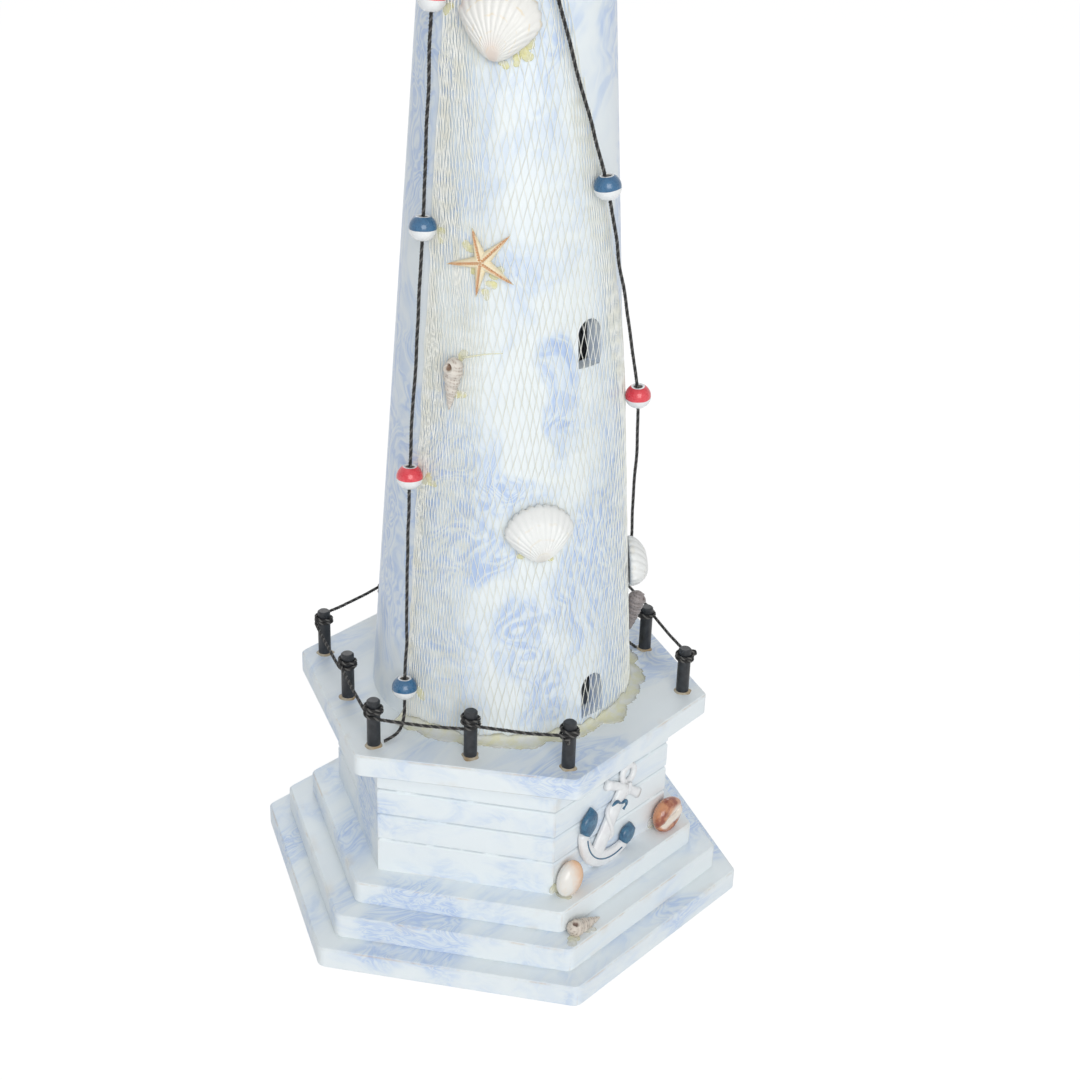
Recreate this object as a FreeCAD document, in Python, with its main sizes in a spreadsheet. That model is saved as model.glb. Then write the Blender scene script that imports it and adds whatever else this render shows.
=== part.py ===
"""Garden lighthouse ornament: stepped hexagonal base, tapered tower, netting, garland, lantern.

Millimetres. The origin is the centre of the base's underside, +Z is up, and the entrance side
of the base, where the railing is left open, faces -Y.
"""

import FreeCAD, Part
import Sketcher
import math
import os

V = FreeCAD.Vector
UP = V(0, 0, 1)
ORIGIN = V(0, 0, 0)

doc = FreeCAD.newDocument("lighthouse")

# ---------------------------------------------------------------- driving dimensions

SIZES = [
    ("lower_board_radius", 100.0, "corner radius of the lowest step board"),
    ("lower_board_height", 9.0, ""),
    ("middle_board_radius", 90.9, ""),
    ("middle_board_height", 10.2, ""),
    ("upper_board_radius", 80.5, ""),
    ("upper_board_height", 9.5, ""),
    ("board_corner_round", 4.0, "rounding of the boards' upright edges"),
    ("board_edge_bevel", 0.8, "sanding of the boards' other edges"),
    ("plinth_radius", 68.4, "corner radius of the planked drum"),
    ("plinth_height", 50.4, ""),
    ("plinth_wall", 9.0, ""),
    ("bottom_plank_height", 14.1, ""),
    ("plank_height", 11.25, "the planks above the bottom one"),
    ("groove_depth", 0.9, "depth and half width of the V between planks"),
    ("deck_radius", 82.3, ""),
    ("deck_height", 9.0, ""),
    ("deck_turn", 2.1, "degrees, the deck is glued on slightly turned"),
    ("post_circle_radius", 72.3, "corner posts, from the axis"),
    ("post_diameter", 5.0, ""),
    ("post_height", 19.3, ""),
    ("post_end_bevel", 0.5, ""),
    ("railing_height", 14.2, "the cord's height on a post"),
    ("cord_diameter", 1.3, ""),
    ("cord_seat_gap", 0.05, "between a wound cord and what it is wound on"),
    ("winding_gap", 0.45, "between two turns"),
    ("cord_slope", 0.07, "how steeply a railing cord leaves a post, as its sag"),
    ("knot_diameter", 3.0, ""),
    ("tower_foot_radius", 50.7, ""),
    ("tower_top_radius", 25.4, ""),
    ("tower_height", 378.0, ""),
    ("tower_wall", 6.5, ""),
    ("tower_turn", -4.5, "degrees, the windows are slightly off the entrance side"),
    ("window_width", 11.0, ""),
    ("window_height", 17.0, ""),
    ("window_sill", 3.6, "the lowest window's, above the deck"),
    ("window_spacing", 136.5, ""),
    ("net_thickness", 0.5, ""),
    ("net_gap", 0.3, "between the net and the tower"),
    ("net_left_edge", -94.0, "degrees round the tower from -Y"),
    ("net_right_foot", 90.0, "degrees, the slanting right edge at the foot"),
    ("net_right_top", -62.0, "degrees, the same edge at the top"),
    ("net_foot_gap", 0.3, "between the net's foot and the deck"),
    ("glue_reach", 5.2, "how far the glue runs out over the deck"),
    ("glue_climb", 4.2, "how far it climbs the net"),
    ("bead_diameter", 9.5, ""),
    ("bead_bore", 2.4, ""),
    ("bead_gap", 0.1, "between a bead and the net"),
    ("neck_drop", 9.0, "the neck winding's top, below the gallery"),
    ("neck_turns", 3.0, ""),
    ("gallery_radius", 44.0, ""),
    ("gallery_height", 8.0, ""),
    ("gallery_post_circle", 37.0, ""),
    ("lantern_radius", 26.0, ""),
    ("lantern_height", 40.0, ""),
    ("lantern_wall", 4.0, ""),
    ("lantern_window_width", 14.0, ""),
    ("lantern_window_height", 27.0, ""),
    ("lantern_window_sill", 6.5, ""),
    ("glazing_thickness", 1.2, ""),
    ("glazing_gap", 0.15, ""),
    ("roof_gap", 0.3, "between the lantern and the loose roof"),
    ("roof_board_radius", 36.0, ""),
    ("roof_board_height", 6.0, ""),
    ("roof_plug_depth", 3.0, "the plug that keeps the roof in place"),
    ("roof_plug_gap", 0.4, ""),
    ("roof_cap_radius", 32.0, ""),
    ("roof_cap_height", 34.0, ""),
    ("roof_tip_radius", 5.0, ""),
    ("finial_neck_diameter", 5.0, ""),
    ("finial_neck_height", 6.0, ""),
    ("finial_ball_diameter", 12.0, ""),
    ("light_radius", 16.0, ""),
    ("light_height", 12.0, ""),
    ("light_wall", 1.8, ""),
    ("light_cover_thickness", 1.6, ""),
    ("light_fit", 0.2, "between the light's own pieces"),
    ("cell_diameter", 20.0, ""),
    ("cell_thickness", 3.2, ""),
    ("led_diameter", 5.0, ""),
    ("led_height", 6.0, "of its lens above the housing"),
    ("led_flange", 1.0, ""),
    ("dome_radius", 9.0, ""),
    ("dome_wall", 1.2, ""),
    ("dome_height", 17.0, ""),
    ("slot_offset", 11.3, "the switch slot's centre line, from the axis"),
    ("slot_width", 2.8, ""),
    ("switch_width", 2.4, ""),
    ("switch_travel", 4.0, ""),
    ("switch_thumb", 3.4, "length and width of the thumb piece and foot"),
    ("switch_thumb_height", 1.8, ""),
    ("switch_foot_height", 1.0, ""),
    ("shell_gap", 0.1, "between a shell and what it is glued to"),
    ("cockle_upper_width", 27.0, ""),
    ("cockle_upper_length", 25.0, ""),
    ("cockle_upper_depth", 8.5, ""),
    ("cockle_upper_rise", 243.5, "of its beak above the deck, as for the next shells"),
    ("cockle_middle_width", 25.5, ""),
    ("cockle_middle_length", 21.5, ""),
    ("cockle_middle_depth", 7.5, ""),
    ("cockle_middle_rise", 72.0, ""),
    ("cockle_side_width", 22.0, ""),
    ("cockle_side_length", 20.0, ""),
    ("cockle_side_depth", 7.0, ""),
    ("cockle_side_rise", 40.0, ""),
    ("starfish_reach", 12.7, ""),
    ("starfish_rise", 178.9, ""),
    ("cerith_shell_length", 20.5, ""),
    ("cerith_shell_width", 7.0, ""),
    ("cerith_shell_rise", 135.9, ""),
    ("turret_shell_length", 18.0, ""),
    ("turret_shell_width", 7.0, ""),
    ("turret_shell_rise", 28.5, ""),
    ("step_shell_length", 18.0, ""),
    ("step_shell_width", 6.6, ""),
    ("cowrie_length", 15.0, ""),
    ("cowrie_width", 12.0, ""),
    ("cowrie_depth", 9.0, ""),
    ("cowrie_rise", 6.4, "above the upper board, as for the next two"),
    ("corner_shell_length", 14.0, ""),
    ("corner_shell_width", 10.5, ""),
    ("corner_shell_depth", 8.0, ""),
    ("corner_shell_rise", 7.0, ""),
    ("anchor_rise", 3.3, ""),
    ("anchor_thickness", 4.0, ""),
]

sizes = doc.addObject("Spreadsheet::Sheet", "sizes")
for row, (alias, number, note) in enumerate(SIZES, 1):
    sizes.set(f"A{row}", alias)
    sizes.set(f"B{row}", str(number))
    sizes.set(f"C{row}", note)
    sizes.setAlias(f"B{row}", alias)
doc.recompute()


def value(expression):
    """The number that an expression on the sheet gives."""
    return float(sizes.evalExpression(expression))


# Heights of the stack, as expressions on the sheet.
MIDDLE_BOARD_Z = "sizes.lower_board_height"
UPPER_BOARD_Z = f"{MIDDLE_BOARD_Z} + sizes.middle_board_height"
PLINTH_Z = f"{UPPER_BOARD_Z} + sizes.upper_board_height"
DECK_Z = f"{PLINTH_Z} + sizes.plinth_height"
DECK_TOP = f"{DECK_Z} + sizes.deck_height"
GALLERY_Z = f"{DECK_TOP} + sizes.tower_height"
GALLERY_TOP = f"{GALLERY_Z} + sizes.gallery_height"
ROOF_Z = f"{GALLERY_TOP} + sizes.lantern_height + sizes.roof_gap"
ROOF_CAP_Z = f"{ROOF_Z} + sizes.roof_board_height"
FINIAL_Z = f"{ROOF_CAP_Z} + sizes.roof_cap_height"

# A hexagon's corner radius and the distance to its sides.
SIDE_FACTOR = "cos(30 deg)"
LANTERN_INNER_RADIUS = f"sizes.lantern_radius - sizes.lantern_wall / {SIDE_FACTOR}"
GLAZING_RADIUS = f"{LANTERN_INNER_RADIUS} - sizes.glazing_gap / {SIDE_FACTOR}"
GLAZING_INNER_RADIUS = f"{GLAZING_RADIUS} - sizes.glazing_thickness / {SIDE_FACTOR}"
ROOF_PLUG_RADIUS = f"{LANTERN_INNER_RADIUS} - sizes.roof_plug_gap / {SIDE_FACTOR}"

HEXAGON = 6
SMALL = 1e-6

# ---------------------------------------------------------------- sketches and features


sub_parts = []


def sub_part(thing, label):
    """Names an object of the document as one of the ornament's pieces."""
    thing.Label = label
    sub_parts.append(thing)
    return thing


def origin_feature(body, role):
    return next(f for f in body.Origin.OriginFeatures if f.Role == role)


def new_body(label, height="0", turn="0"):
    """A body that stands at a height, turned about the vertical axis."""
    body = sub_part(doc.addObject("PartDesign::Body", label), label)
    body.setExpression("Placement.Base.z", height)
    body.Placement.Rotation = FreeCAD.Rotation(UP, 0)
    body.setExpression("Placement.Rotation.Angle", turn)
    return body


def new_sketch(body, name, plane="XY_Plane", offset=None):
    sketch = body.newObject("Sketcher::SketchObject", name)
    sketch.AttachmentSupport = [(origin_feature(body, plane), "")]
    sketch.MapMode = "FlatFace"
    if offset:
        sketch.setExpression(".AttachmentOffset.Base.z", offset)
    return sketch


def hexagon_sketch(body, name, radius, offset=None):
    """A regular hexagon with a corner on +X; radius is its corner radius, an expression."""
    sketch = new_sketch(body, name, offset=offset)
    size = value(radius)
    corners = [
        V(size * math.cos(math.radians(60 * i)), size * math.sin(math.radians(60 * i)), 0)
        for i in range(HEXAGON)
    ]
    for i in range(HEXAGON):
        sketch.addGeometry(Part.LineSegment(corners[i], corners[(i + 1) % HEXAGON]), False)
    circle = sketch.addGeometry(Part.Circle(ORIGIN, UP, size), True)
    for i in range(HEXAGON):
        sketch.addConstraint(Sketcher.Constraint("Coincident", i, 2, (i + 1) % HEXAGON, 1))
    sketch.addConstraint(Sketcher.Constraint("Coincident", circle, 3, -1, 1))
    for i in range(HEXAGON):
        sketch.addConstraint(Sketcher.Constraint("PointOnObject", i, 1, circle))
    for i in range(1, HEXAGON):
        sketch.addConstraint(Sketcher.Constraint("Equal", 0, i))
    sketch.addConstraint(Sketcher.Constraint("PointOnObject", 0, 1, -1))
    driving = sketch.addConstraint(Sketcher.Constraint("Radius", circle, size))
    sketch.setExpression(f"Constraints[{driving}]", radius)
    return sketch


def circle_sketch(body, name, radius, offset=None):
    sketch = new_sketch(body, name, offset=offset)
    sketch.addGeometry(Part.Circle(ORIGIN, UP, value(radius)), False)
    sketch.addConstraint(Sketcher.Constraint("Coincident", 0, 3, -1, 1))
    driving = sketch.addConstraint(Sketcher.Constraint("Radius", 0, value(radius)))
    sketch.setExpression(f"Constraints[{driving}]", radius)
    return sketch


def polygon_sketch(body, name, points, plane="XZ_Plane", offset=None):
    """A closed outline whose corners are pairs of expressions, from the sketch's origin."""
    sketch = new_sketch(body, name, plane, offset)
    corners = [V(value(x), value(y), 0) for x, y in points]
    count = len(corners)
    for i in range(count):
        sketch.addGeometry(Part.LineSegment(corners[i], corners[(i + 1) % count]), False)
    for i in range(count):
        sketch.addConstraint(Sketcher.Constraint("Coincident", i, 2, (i + 1) % count, 1))
    for i, pair in enumerate(points):
        for kind, expression in zip(("DistanceX", "DistanceY"), pair):
            place = value(expression)
            driving = sketch.addConstraint(Sketcher.Constraint(kind, -1, 1, i, 1, place))
            sketch.setExpression(f"Constraints[{driving}]", expression)
    return sketch


def rectangle_sketch(body, name, length, width, centre_y="0", offset=None):
    """A rectangle along X on the XY plane, centred at X = 0."""
    half, side = f"({length}) / 2", f"({width}) / 2"
    low, high = f"{centre_y} - {side}", f"{centre_y} + {side}"
    corners = [(f"-{half}", low), (half, low), (half, high), (f"-{half}", high)]
    return polygon_sketch(body, name, corners, "XY_Plane", offset)


def arch_sketch(body, name, width, height, sill):
    """A round-headed opening on the XZ plane, centred on the axis."""
    sketch = new_sketch(body, name, "XZ_Plane")
    half, low = value(width) / 2, value(sill)
    spring = low + value(height) - half
    sketch.addGeometry(Part.LineSegment(V(-half, spring, 0), V(-half, low, 0)), False)
    sketch.addGeometry(Part.LineSegment(V(-half, low, 0), V(half, low, 0)), False)
    sketch.addGeometry(Part.LineSegment(V(half, low, 0), V(half, spring, 0)), False)
    head = Part.ArcOfCircle(Part.Circle(V(0, spring, 0), UP, half), 0, math.pi)
    sketch.addGeometry(head, False)
    for i in range(3):
        sketch.addConstraint(Sketcher.Constraint("Coincident", i, 2, i + 1, 1))
    sketch.addConstraint(Sketcher.Constraint("Coincident", 3, 2, 0, 1))
    sketch.addConstraint(Sketcher.Constraint("Vertical", 0))
    sketch.addConstraint(Sketcher.Constraint("Horizontal", 1))
    sketch.addConstraint(Sketcher.Constraint("Vertical", 2))
    sketch.addConstraint(Sketcher.Constraint("PointOnObject", 3, 3, -2))
    sketch.addConstraint(Sketcher.Constraint("Horizontal", 3, 3, 0, 1))
    driven = [
        (("DistanceX", 1, 1, 1, 2), width),
        (("DistanceY", -1, 1, 1, 1), sill),
        (("DistanceY", 1, 1, 0, 1), f"{height} - ({width}) / 2"),
    ]
    for constraint, expression in driven:
        driving = sketch.addConstraint(Sketcher.Constraint(*constraint, value(expression)))
        sketch.setExpression(f"Constraints[{driving}]", expression)
    return sketch


def pad(body, name, sketch, length, downwards=False):
    feature = body.newObject("PartDesign::Pad", name)
    feature.Profile = sketch
    feature.setExpression("Length", length)
    feature.Reversed = downwards
    body.Tip = feature
    doc.recompute()
    return feature


def pocket(body, name, sketch, length, reverse=False):
    """Cuts against the sketch's own direction, or along it where reverse is set."""
    before = body.Shape.Volume
    feature = body.newObject("PartDesign::Pocket", name)
    feature.Profile = sketch
    feature.setExpression("Length", length)
    feature.Reversed = reverse
    body.Tip = feature
    doc.recompute()
    assert body.Shape.Volume < before - SMALL, f"{name} cuts nothing"
    return feature


def revolve(body, name, sketch):
    feature = body.newObject("PartDesign::Revolution", name)
    feature.Profile = sketch
    feature.ReferenceAxis = (origin_feature(body, "Z_Axis"), [""])
    feature.Angle = 360
    body.Tip = feature
    doc.recompute()
    return feature


def dress_edges(body, name, kind, edges, size):
    """A Fillet or Chamfer on the edges of the body's last feature that the test edges() picks."""
    base = body.Tip
    top = base.Shape.BoundBox.ZMax
    names = [f"Edge{i}" for i, edge in enumerate(base.Shape.Edges, 1) if edges(edge, top)]
    feature = body.newObject(f"PartDesign::{kind}", name)
    feature.Base = (base, names)
    feature.setExpression("Radius" if kind == "Fillet" else "Size", size)
    body.Tip = feature
    doc.recompute()
    return feature


def is_upright(edge, top):
    start, end = edge.Vertexes[0].Point, edge.Vertexes[-1].Point
    return abs(end.z - start.z) > SMALL and math.hypot(end.x - start.x, end.y - start.y) < SMALL


def is_level(edge, top):
    box = edge.BoundBox
    return box.ZMax - box.ZMin < SMALL


def is_top_rim(edge, top):
    return is_level(edge, top) and top - edge.BoundBox.ZMax < SMALL


# ---------------------------------------------------------------- boards of the base and gallery


def step_board(label, radius, thickness, height, turn="0"):
    """A hexagonal board with rounded corners and sanded edges."""
    body = new_body(label, height, turn)
    pad(body, f"{label}_pad", hexagon_sketch(body, f"{label}_outline", radius), thickness)
    dress_edges(body, f"{label}_corners", "Fillet", is_upright, "sizes.board_corner_round")
    dress_edges(body, f"{label}_edges", "Chamfer", is_level, "sizes.board_edge_bevel")
    return body


def planked_drum():
    """The drum between steps and deck: a hollow hexagon with V-grooves between its planks."""
    body = new_body("plinth", PLINTH_Z)
    grooves = [
        "sizes.bottom_plank_height",
        "sizes.bottom_plank_height + sizes.plank_height",
        "sizes.bottom_plank_height + 2 * sizes.plank_height",
    ]
    levels = [("0", "sizes.plinth_radius")]
    for middle in grooves:
        levels += [
            (f"{middle} - sizes.groove_depth", "sizes.plinth_radius"),
            (middle, f"sizes.plinth_radius - sizes.groove_depth / {SIDE_FACTOR}"),
            (f"{middle} + sizes.groove_depth", "sizes.plinth_radius"),
        ]
    levels.append(("sizes.plinth_height", "sizes.plinth_radius"))
    outlines = [
        hexagon_sketch(body, f"plinth_outline_{i}", radius, offset=height)
        for i, (height, radius) in enumerate(levels)
    ]
    loft = body.newObject("PartDesign::AdditiveLoft", "plinth_loft")
    loft.Profile = outlines[0]
    loft.Sections = outlines[1:]
    loft.Ruled = True
    body.Tip = loft
    doc.recompute()
    inner = f"sizes.plinth_radius - sizes.plinth_wall / {SIDE_FACTOR}"
    hollow = hexagon_sketch(body, "plinth_hollow_outline", inner, offset="sizes.plinth_height")
    pocket(body, "plinth_hollow", hollow, "sizes.plinth_height")
    return body


step_board("base_board_lower", "sizes.lower_board_radius", "sizes.lower_board_height", "0")
step_board(
    "base_board_middle", "sizes.middle_board_radius", "sizes.middle_board_height", MIDDLE_BOARD_Z
)
step_board("base_board_upper", "sizes.upper_board_radius", "sizes.upper_board_height", UPPER_BOARD_Z)
planked_drum()
step_board("deck_board", "sizes.deck_radius", "sizes.deck_height", DECK_Z, "sizes.deck_turn")
step_board(
    "gallery_board", "sizes.gallery_radius", "sizes.gallery_height", GALLERY_Z, "sizes.deck_turn"
)

# ---------------------------------------------------------------- tower


def tower():
    """The hollow tapered tower with its column of round-headed windows."""
    body = new_body("tower", DECK_TOP, "sizes.tower_turn")
    wall = polygon_sketch(
        body,
        "tower_wall_outline",
        [
            ("sizes.tower_foot_radius - sizes.tower_wall", "0"),
            ("sizes.tower_foot_radius", "0"),
            ("sizes.tower_top_radius", "sizes.tower_height"),
            ("sizes.tower_top_radius - sizes.tower_wall", "sizes.tower_height"),
        ],
    )
    revolve(body, "tower_wall_turned", wall)
    window = arch_sketch(
        body, "window_outline", "sizes.window_width", "sizes.window_height", "sizes.window_sill"
    )
    cut = pocket(body, "window", window, "sizes.tower_foot_radius + 1", reverse=True)
    column = body.newObject("PartDesign::LinearPattern", "window_column")
    column.Originals = [cut]
    column.Direction = (origin_feature(body, "Z_Axis"), [""])
    column.setExpression("Length", "2 * sizes.window_spacing")
    column.Occurrences = 3
    body.Tip = column
    doc.recompute()
    return body


tower()

# Tower, net and decorations are placed by their angle from -Y (positive towards +X), their
# height above the deck, and how far they stand off the tower's wall.
DECK_TOP_MM = value(DECK_TOP)
TOWER_HEIGHT = value("sizes.tower_height")
TOWER_FOOT = value("sizes.tower_foot_radius")
TOWER_TAPER = (TOWER_FOOT - value("sizes.tower_top_radius")) / TOWER_HEIGHT
WALL_LEAN = math.degrees(math.atan(TOWER_TAPER))
NET_OUTSIDE = value("sizes.net_gap + sizes.net_thickness")


def tower_point(angle, height, standoff=0.0):
    """A point of the row frame on or off the tower's wall."""
    radius = TOWER_FOOT - TOWER_TAPER * height + standoff
    around = math.radians(angle)
    return V(radius * math.sin(around), -radius * math.cos(around), DECK_TOP_MM + height)


def against_tower(angle, height, standoff, spin=0.0):
    """A placement whose Z leaves the wall and whose Y runs up it, spun to the left by spin."""
    stand = FreeCAD.Rotation(UP, angle) * FreeCAD.Rotation(V(1, 0, 0), 90 - WALL_LEAN)
    return FreeCAD.Placement(
        tower_point(angle, height, standoff), stand * FreeCAD.Rotation(UP, spin)
    )


def feature(label, shape, placement=None):
    """A sub-part whose shape comes from the functions above it."""
    thing = sub_part(doc.addObject("Part::Feature", label), label)
    thing.Shape = shape
    if placement:
        thing.Placement = placement
    return thing


# ---------------------------------------------------------------- net and its glue


def netting():
    """The net's skin: a thin sleeve over part of the tower, cut off along a slanting edge."""
    inner, outer = value("sizes.net_gap"), NET_OUTSIDE
    low, high = value("sizes.net_foot_gap"), TOWER_HEIGHT - value("sizes.neck_drop")
    left = value("sizes.net_left_edge")
    right_foot, right_top = value("sizes.net_right_foot"), value("sizes.net_right_top")
    corners = [
        tower_point(left, low, inner),
        tower_point(left, low, outer),
        tower_point(left, high, outer),
        tower_point(left, high, inner),
    ]
    section = Part.Face(Part.makePolygon(corners + corners[:1]))
    sleeve = section.revolve(ORIGIN, UP, right_foot - left)
    foot = tower_point(right_foot, low)
    top = tower_point(right_top, high)
    middle = tower_point((right_foot + right_top) / 2, (low + high) / 2)
    across = (top - foot).cross(middle - foot).normalize()
    right_of_top = tower_point(right_top + 30, high)
    if across.dot(right_of_top - foot) < 0:
        across = across * -1
    reach = 2 * TOWER_HEIGHT
    beyond = Part.makeBox(reach, reach, reach, V(-reach / 2, -reach / 2, 0))
    beyond.Placement = FreeCAD.Placement(foot, FreeCAD.Rotation(UP, across)) * beyond.Placement
    return feature("fishing_net", sleeve.cut(beyond))


def glue_hem():
    """The bead of glue that holds the net's foot to the deck."""
    left, right = value("sizes.net_left_edge"), value("sizes.net_right_foot")
    gap = NET_OUTSIDE + value("sizes.net_gap")
    climb, reach = value("sizes.glue_climb"), value("sizes.glue_reach")
    corner = tower_point(left, 0, gap)
    crest = tower_point(left, climb, gap)
    shore = tower_point(left, 0, gap + reach)
    hollow = tower_point(left, climb * 0.3, gap + reach * 0.35)
    outline = [
        Part.makeLine(corner, crest),
        Part.Arc(crest, hollow, shore).toShape(),
        Part.makeLine(shore, corner),
    ]
    section = Part.Face(Part.Wire(outline))
    return feature("glue_hem", section.revolve(ORIGIN, UP, right - left))


netting()
glue_hem()

# ---------------------------------------------------------------- cords

CORD = value("sizes.cord_diameter")
WINDING_PITCH = CORD + value("sizes.winding_gap")
QUARTER = 90.0


def arc_leaving(start, direction, end):
    """The arc from start to end that leaves along direction."""
    chord = end - start
    along = V(chord).normalize()
    aside = direction - along * direction.dot(along)
    if aside.Length < SMALL:
        return Part.LineSegment(start, end)
    half_turn = math.atan2(aside.Length, direction.dot(along))
    bulge = aside.normalize() * (chord.Length / 2 * math.tan(half_turn / 2))
    return Part.Arc(start, (start + end) * 0.5 + bulge, end)


CORD_SIDES = 6


def smooth_wire(stations):
    """A wire of two tangent arcs between each two stations, which are (point, direction)."""
    edges = []
    for (start, leave), (end, arrive) in zip(stations, stations[1:]):
        chord = end - start
        bend = 2 * (leave.dot(arrive) - 1)
        run = chord.dot(leave + arrive)
        if abs(bend) < SMALL:
            step = chord.dot(chord) / (2 * run)
        else:
            step = (run - math.sqrt(run * run - bend * chord.dot(chord))) / bend
        joint = (start + leave * step + end - arrive * step) * 0.5
        edges.append(arc_leaving(start, leave, joint).toShape())
        edges.append(arc_leaving(end, arrive * -1, joint).toShape())
    return Part.Wire(Part.__sortEdges__(edges))


def tube(path, start, direction, diameter=CORD):
    """A six-sided tube along a path; its volume has to be its section times its length."""
    facing = FreeCAD.Placement(start, FreeCAD.Rotation(UP, direction))
    angles = [2 * math.pi * i / CORD_SIDES for i in range(CORD_SIDES)]
    corners = [facing * (V(math.cos(a), math.sin(a), 0) * (diameter / 2)) for a in angles]
    ring = Part.makePolygon(corners + corners[:1])
    solid = path.makePipeShell([ring], True, False)
    expected = Part.Face(ring).Area * path.Length
    print(f"  tube length {path.Length:.1f}, volume / expected {solid.Volume / expected:.3f}")
    return solid


def routed_tube(points, diameter=CORD):
    """A tube along straight runs joined by tangent arcs; prints each bend's radius."""
    edges, radii = [], []
    at = points[0]
    for before, corner, after in zip(points, points[1:], points[2:]):
        run_in, run_out = corner - before, after - corner
        half_turn = run_in.getAngle(run_out) / 2
        cut = 0.45 * min(run_in.Length, run_out.Length)
        radii.append(round(cut / math.tan(half_turn), 1))
        arrive = corner - V(run_in).normalize() * cut
        leave = corner + V(run_out).normalize() * cut
        edges.append(Part.makeLine(at, arrive))
        edges.append(arc_leaving(arrive, V(run_in).normalize(), leave).toShape())
        at = leave
    edges.append(Part.makeLine(at, points[-1]))
    print(f"  bend radii {radii}")
    return tube(Part.Wire(edges), points[0], points[1] - points[0], diameter)


# ---------------------------------------------------------------- railings

POST_RADIUS = value("sizes.post_diameter / 2")
POST_WINDING = POST_RADIUS + value("sizes.cord_seat_gap") + CORD / 2
RAILING_HEIGHT = value("sizes.railing_height")
CORD_SLOPE = value("sizes.cord_slope")
KNOT_RADIUS = value("sizes.knot_diameter / 2")
KNOT_TAIL = 2.2 * KNOT_RADIUS


def posts(prefix, circle, first_angle, step, count, height, between=None):
    """A row of dowel posts, clockwise from first_angle; returns their centres.

    Every second post stands on the circle between, if there is one.
    """
    centres = []
    for i in range(count):
        angle = f"({first_angle - step * i} + sizes.deck_turn) * 1 deg"
        radius = between if between and i % 2 else circle
        body = new_body(f"{prefix}_{i + 1:02d}", height)
        body.setExpression("Placement.Base.x", f"{radius} * cos({angle})")
        body.setExpression("Placement.Base.y", f"{radius} * sin({angle})")
        outline = circle_sketch(body, f"{prefix}_outline_{i + 1}", "sizes.post_diameter / 2")
        pad(body, f"{prefix}_pad_{i + 1}", outline, "sizes.post_height")
        dress_edges(body, f"{prefix}_end_{i + 1}", "Chamfer", is_top_rim, "sizes.post_end_bevel")
        centres.append(V(body.Placement.Base))
    return centres


def turn_stations(centre, enter, turn, low, climb):
    """Points and directions of a clockwise turn round an upright post, one each quarter."""
    count = math.ceil(abs(turn) / QUARTER)
    stations = []
    for i in range(count + 1):
        angle = math.radians(enter - turn * i / count)
        out = V(math.cos(angle), math.sin(angle), 0)
        rise = climb / (math.radians(turn) * POST_WINDING)
        onward = V(out.y, -out.x, rise).normalize()
        stations.append([centre + out * POST_WINDING + UP * (low + climb * i / count), onward])
    return stations


def railing_cord(label, centres, closed):
    """One cord from post to post on their outer side, with a full extra turn round each."""
    route = centres + centres[:1] if closed else centres
    ways = [(b - a).normalize() for a, b in zip(route, route[1:])]
    sides = [math.degrees(math.atan2(way.x, -way.y)) for way in ways]
    stations, upward = [], 1
    height = RAILING_HEIGHT - WINDING_PITCH / 2
    for i, centre in enumerate(route):
        enter = sides[i - 1] if i else sides[0] + 360
        turn = 360.0
        if 0 < i < len(ways):
            turn += (sides[i - 1] - sides[i]) % 360
        if closed and i == len(ways):
            height = RAILING_HEIGHT + 1.5 * WINDING_PITCH
            upward = 1
        climb = upward * WINDING_PITCH * turn / 360
        stations.append(turn_stations(centre, enter, turn, height, climb))
        height += climb
        upward = -upward
    for wound, following in zip(stations, stations[1:]):
        span = following[0][0] - wound[-1][0]
        level = V(span.x, span.y, 0)
        slope = span.z / level.Length
        level.normalize()
        wound[-1][1] = V(level.x, level.y, slope - CORD_SLOPE).normalize()
        following[0][1] = V(level.x, level.y, slope + CORD_SLOPE).normalize()
    path = [station for wound in stations for station in wound]
    ends = []
    for (point, way), sign in ((path[0], -1), (path[-1], 1)):
        ends.append([point + way * (sign * KNOT_TAIL), way])
    path = [ends[0]] + path + [ends[1]]
    cord = tube(smooth_wire(path), path[0][0], path[0][1])
    for point, _ in ends:
        cord = cord.fuse(Part.makeSphere(KNOT_RADIUS, point))
    return feature(label, cord)


MID_POST_CIRCLE = f"sizes.post_circle_radius * {SIDE_FACTOR}"
deck_posts = posts("deck_post", "sizes.post_circle_radius", 240, 30, 11, DECK_TOP, MID_POST_CIRCLE)
railing_cord("deck_cord", deck_posts, closed=False)
gallery_posts = posts("gallery_post", "sizes.gallery_post_circle", 240, 60, HEXAGON, GALLERY_TOP)
railing_cord("gallery_cord", gallery_posts, closed=True)

# ---------------------------------------------------------------- garland

CORD_ON_NET = NET_OUTSIDE + value("sizes.cord_seat_gap") + CORD / 2
BEAD_STANDOFF = NET_OUTSIDE + value("sizes.bead_gap + sizes.bead_diameter / 2")
BEAD_BEND = value("sizes.bead_diameter") * 0.6
NECK_TOP = TOWER_HEIGHT - value("sizes.neck_drop")
NECK_TURNS = value("sizes.neck_turns")
NECK_BOTTOM = NECK_TOP - NECK_TURNS * WINDING_PITCH
TIE_HEIGHT = NECK_BOTTOM - CORD


def neck_cord():
    """The winding under the gallery that ties the net and the garland to the tower."""
    count = round(NECK_TURNS * 360 / QUARTER)
    stations = []
    for i in range(count + 1):
        angle = -QUARTER * i
        height = NECK_TOP - WINDING_PITCH * i * QUARTER / 360
        here = tower_point(angle, height, CORD_ON_NET)
        around = math.radians(angle)
        fall = WINDING_PITCH / (2 * math.pi * (TOWER_FOOT - TOWER_TAPER * height))
        stations.append((here, V(-math.cos(around), -math.sin(around), -fall).normalize()))
    return feature("neck_cord", tube(smooth_wire(stations), *stations[0]))


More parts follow.
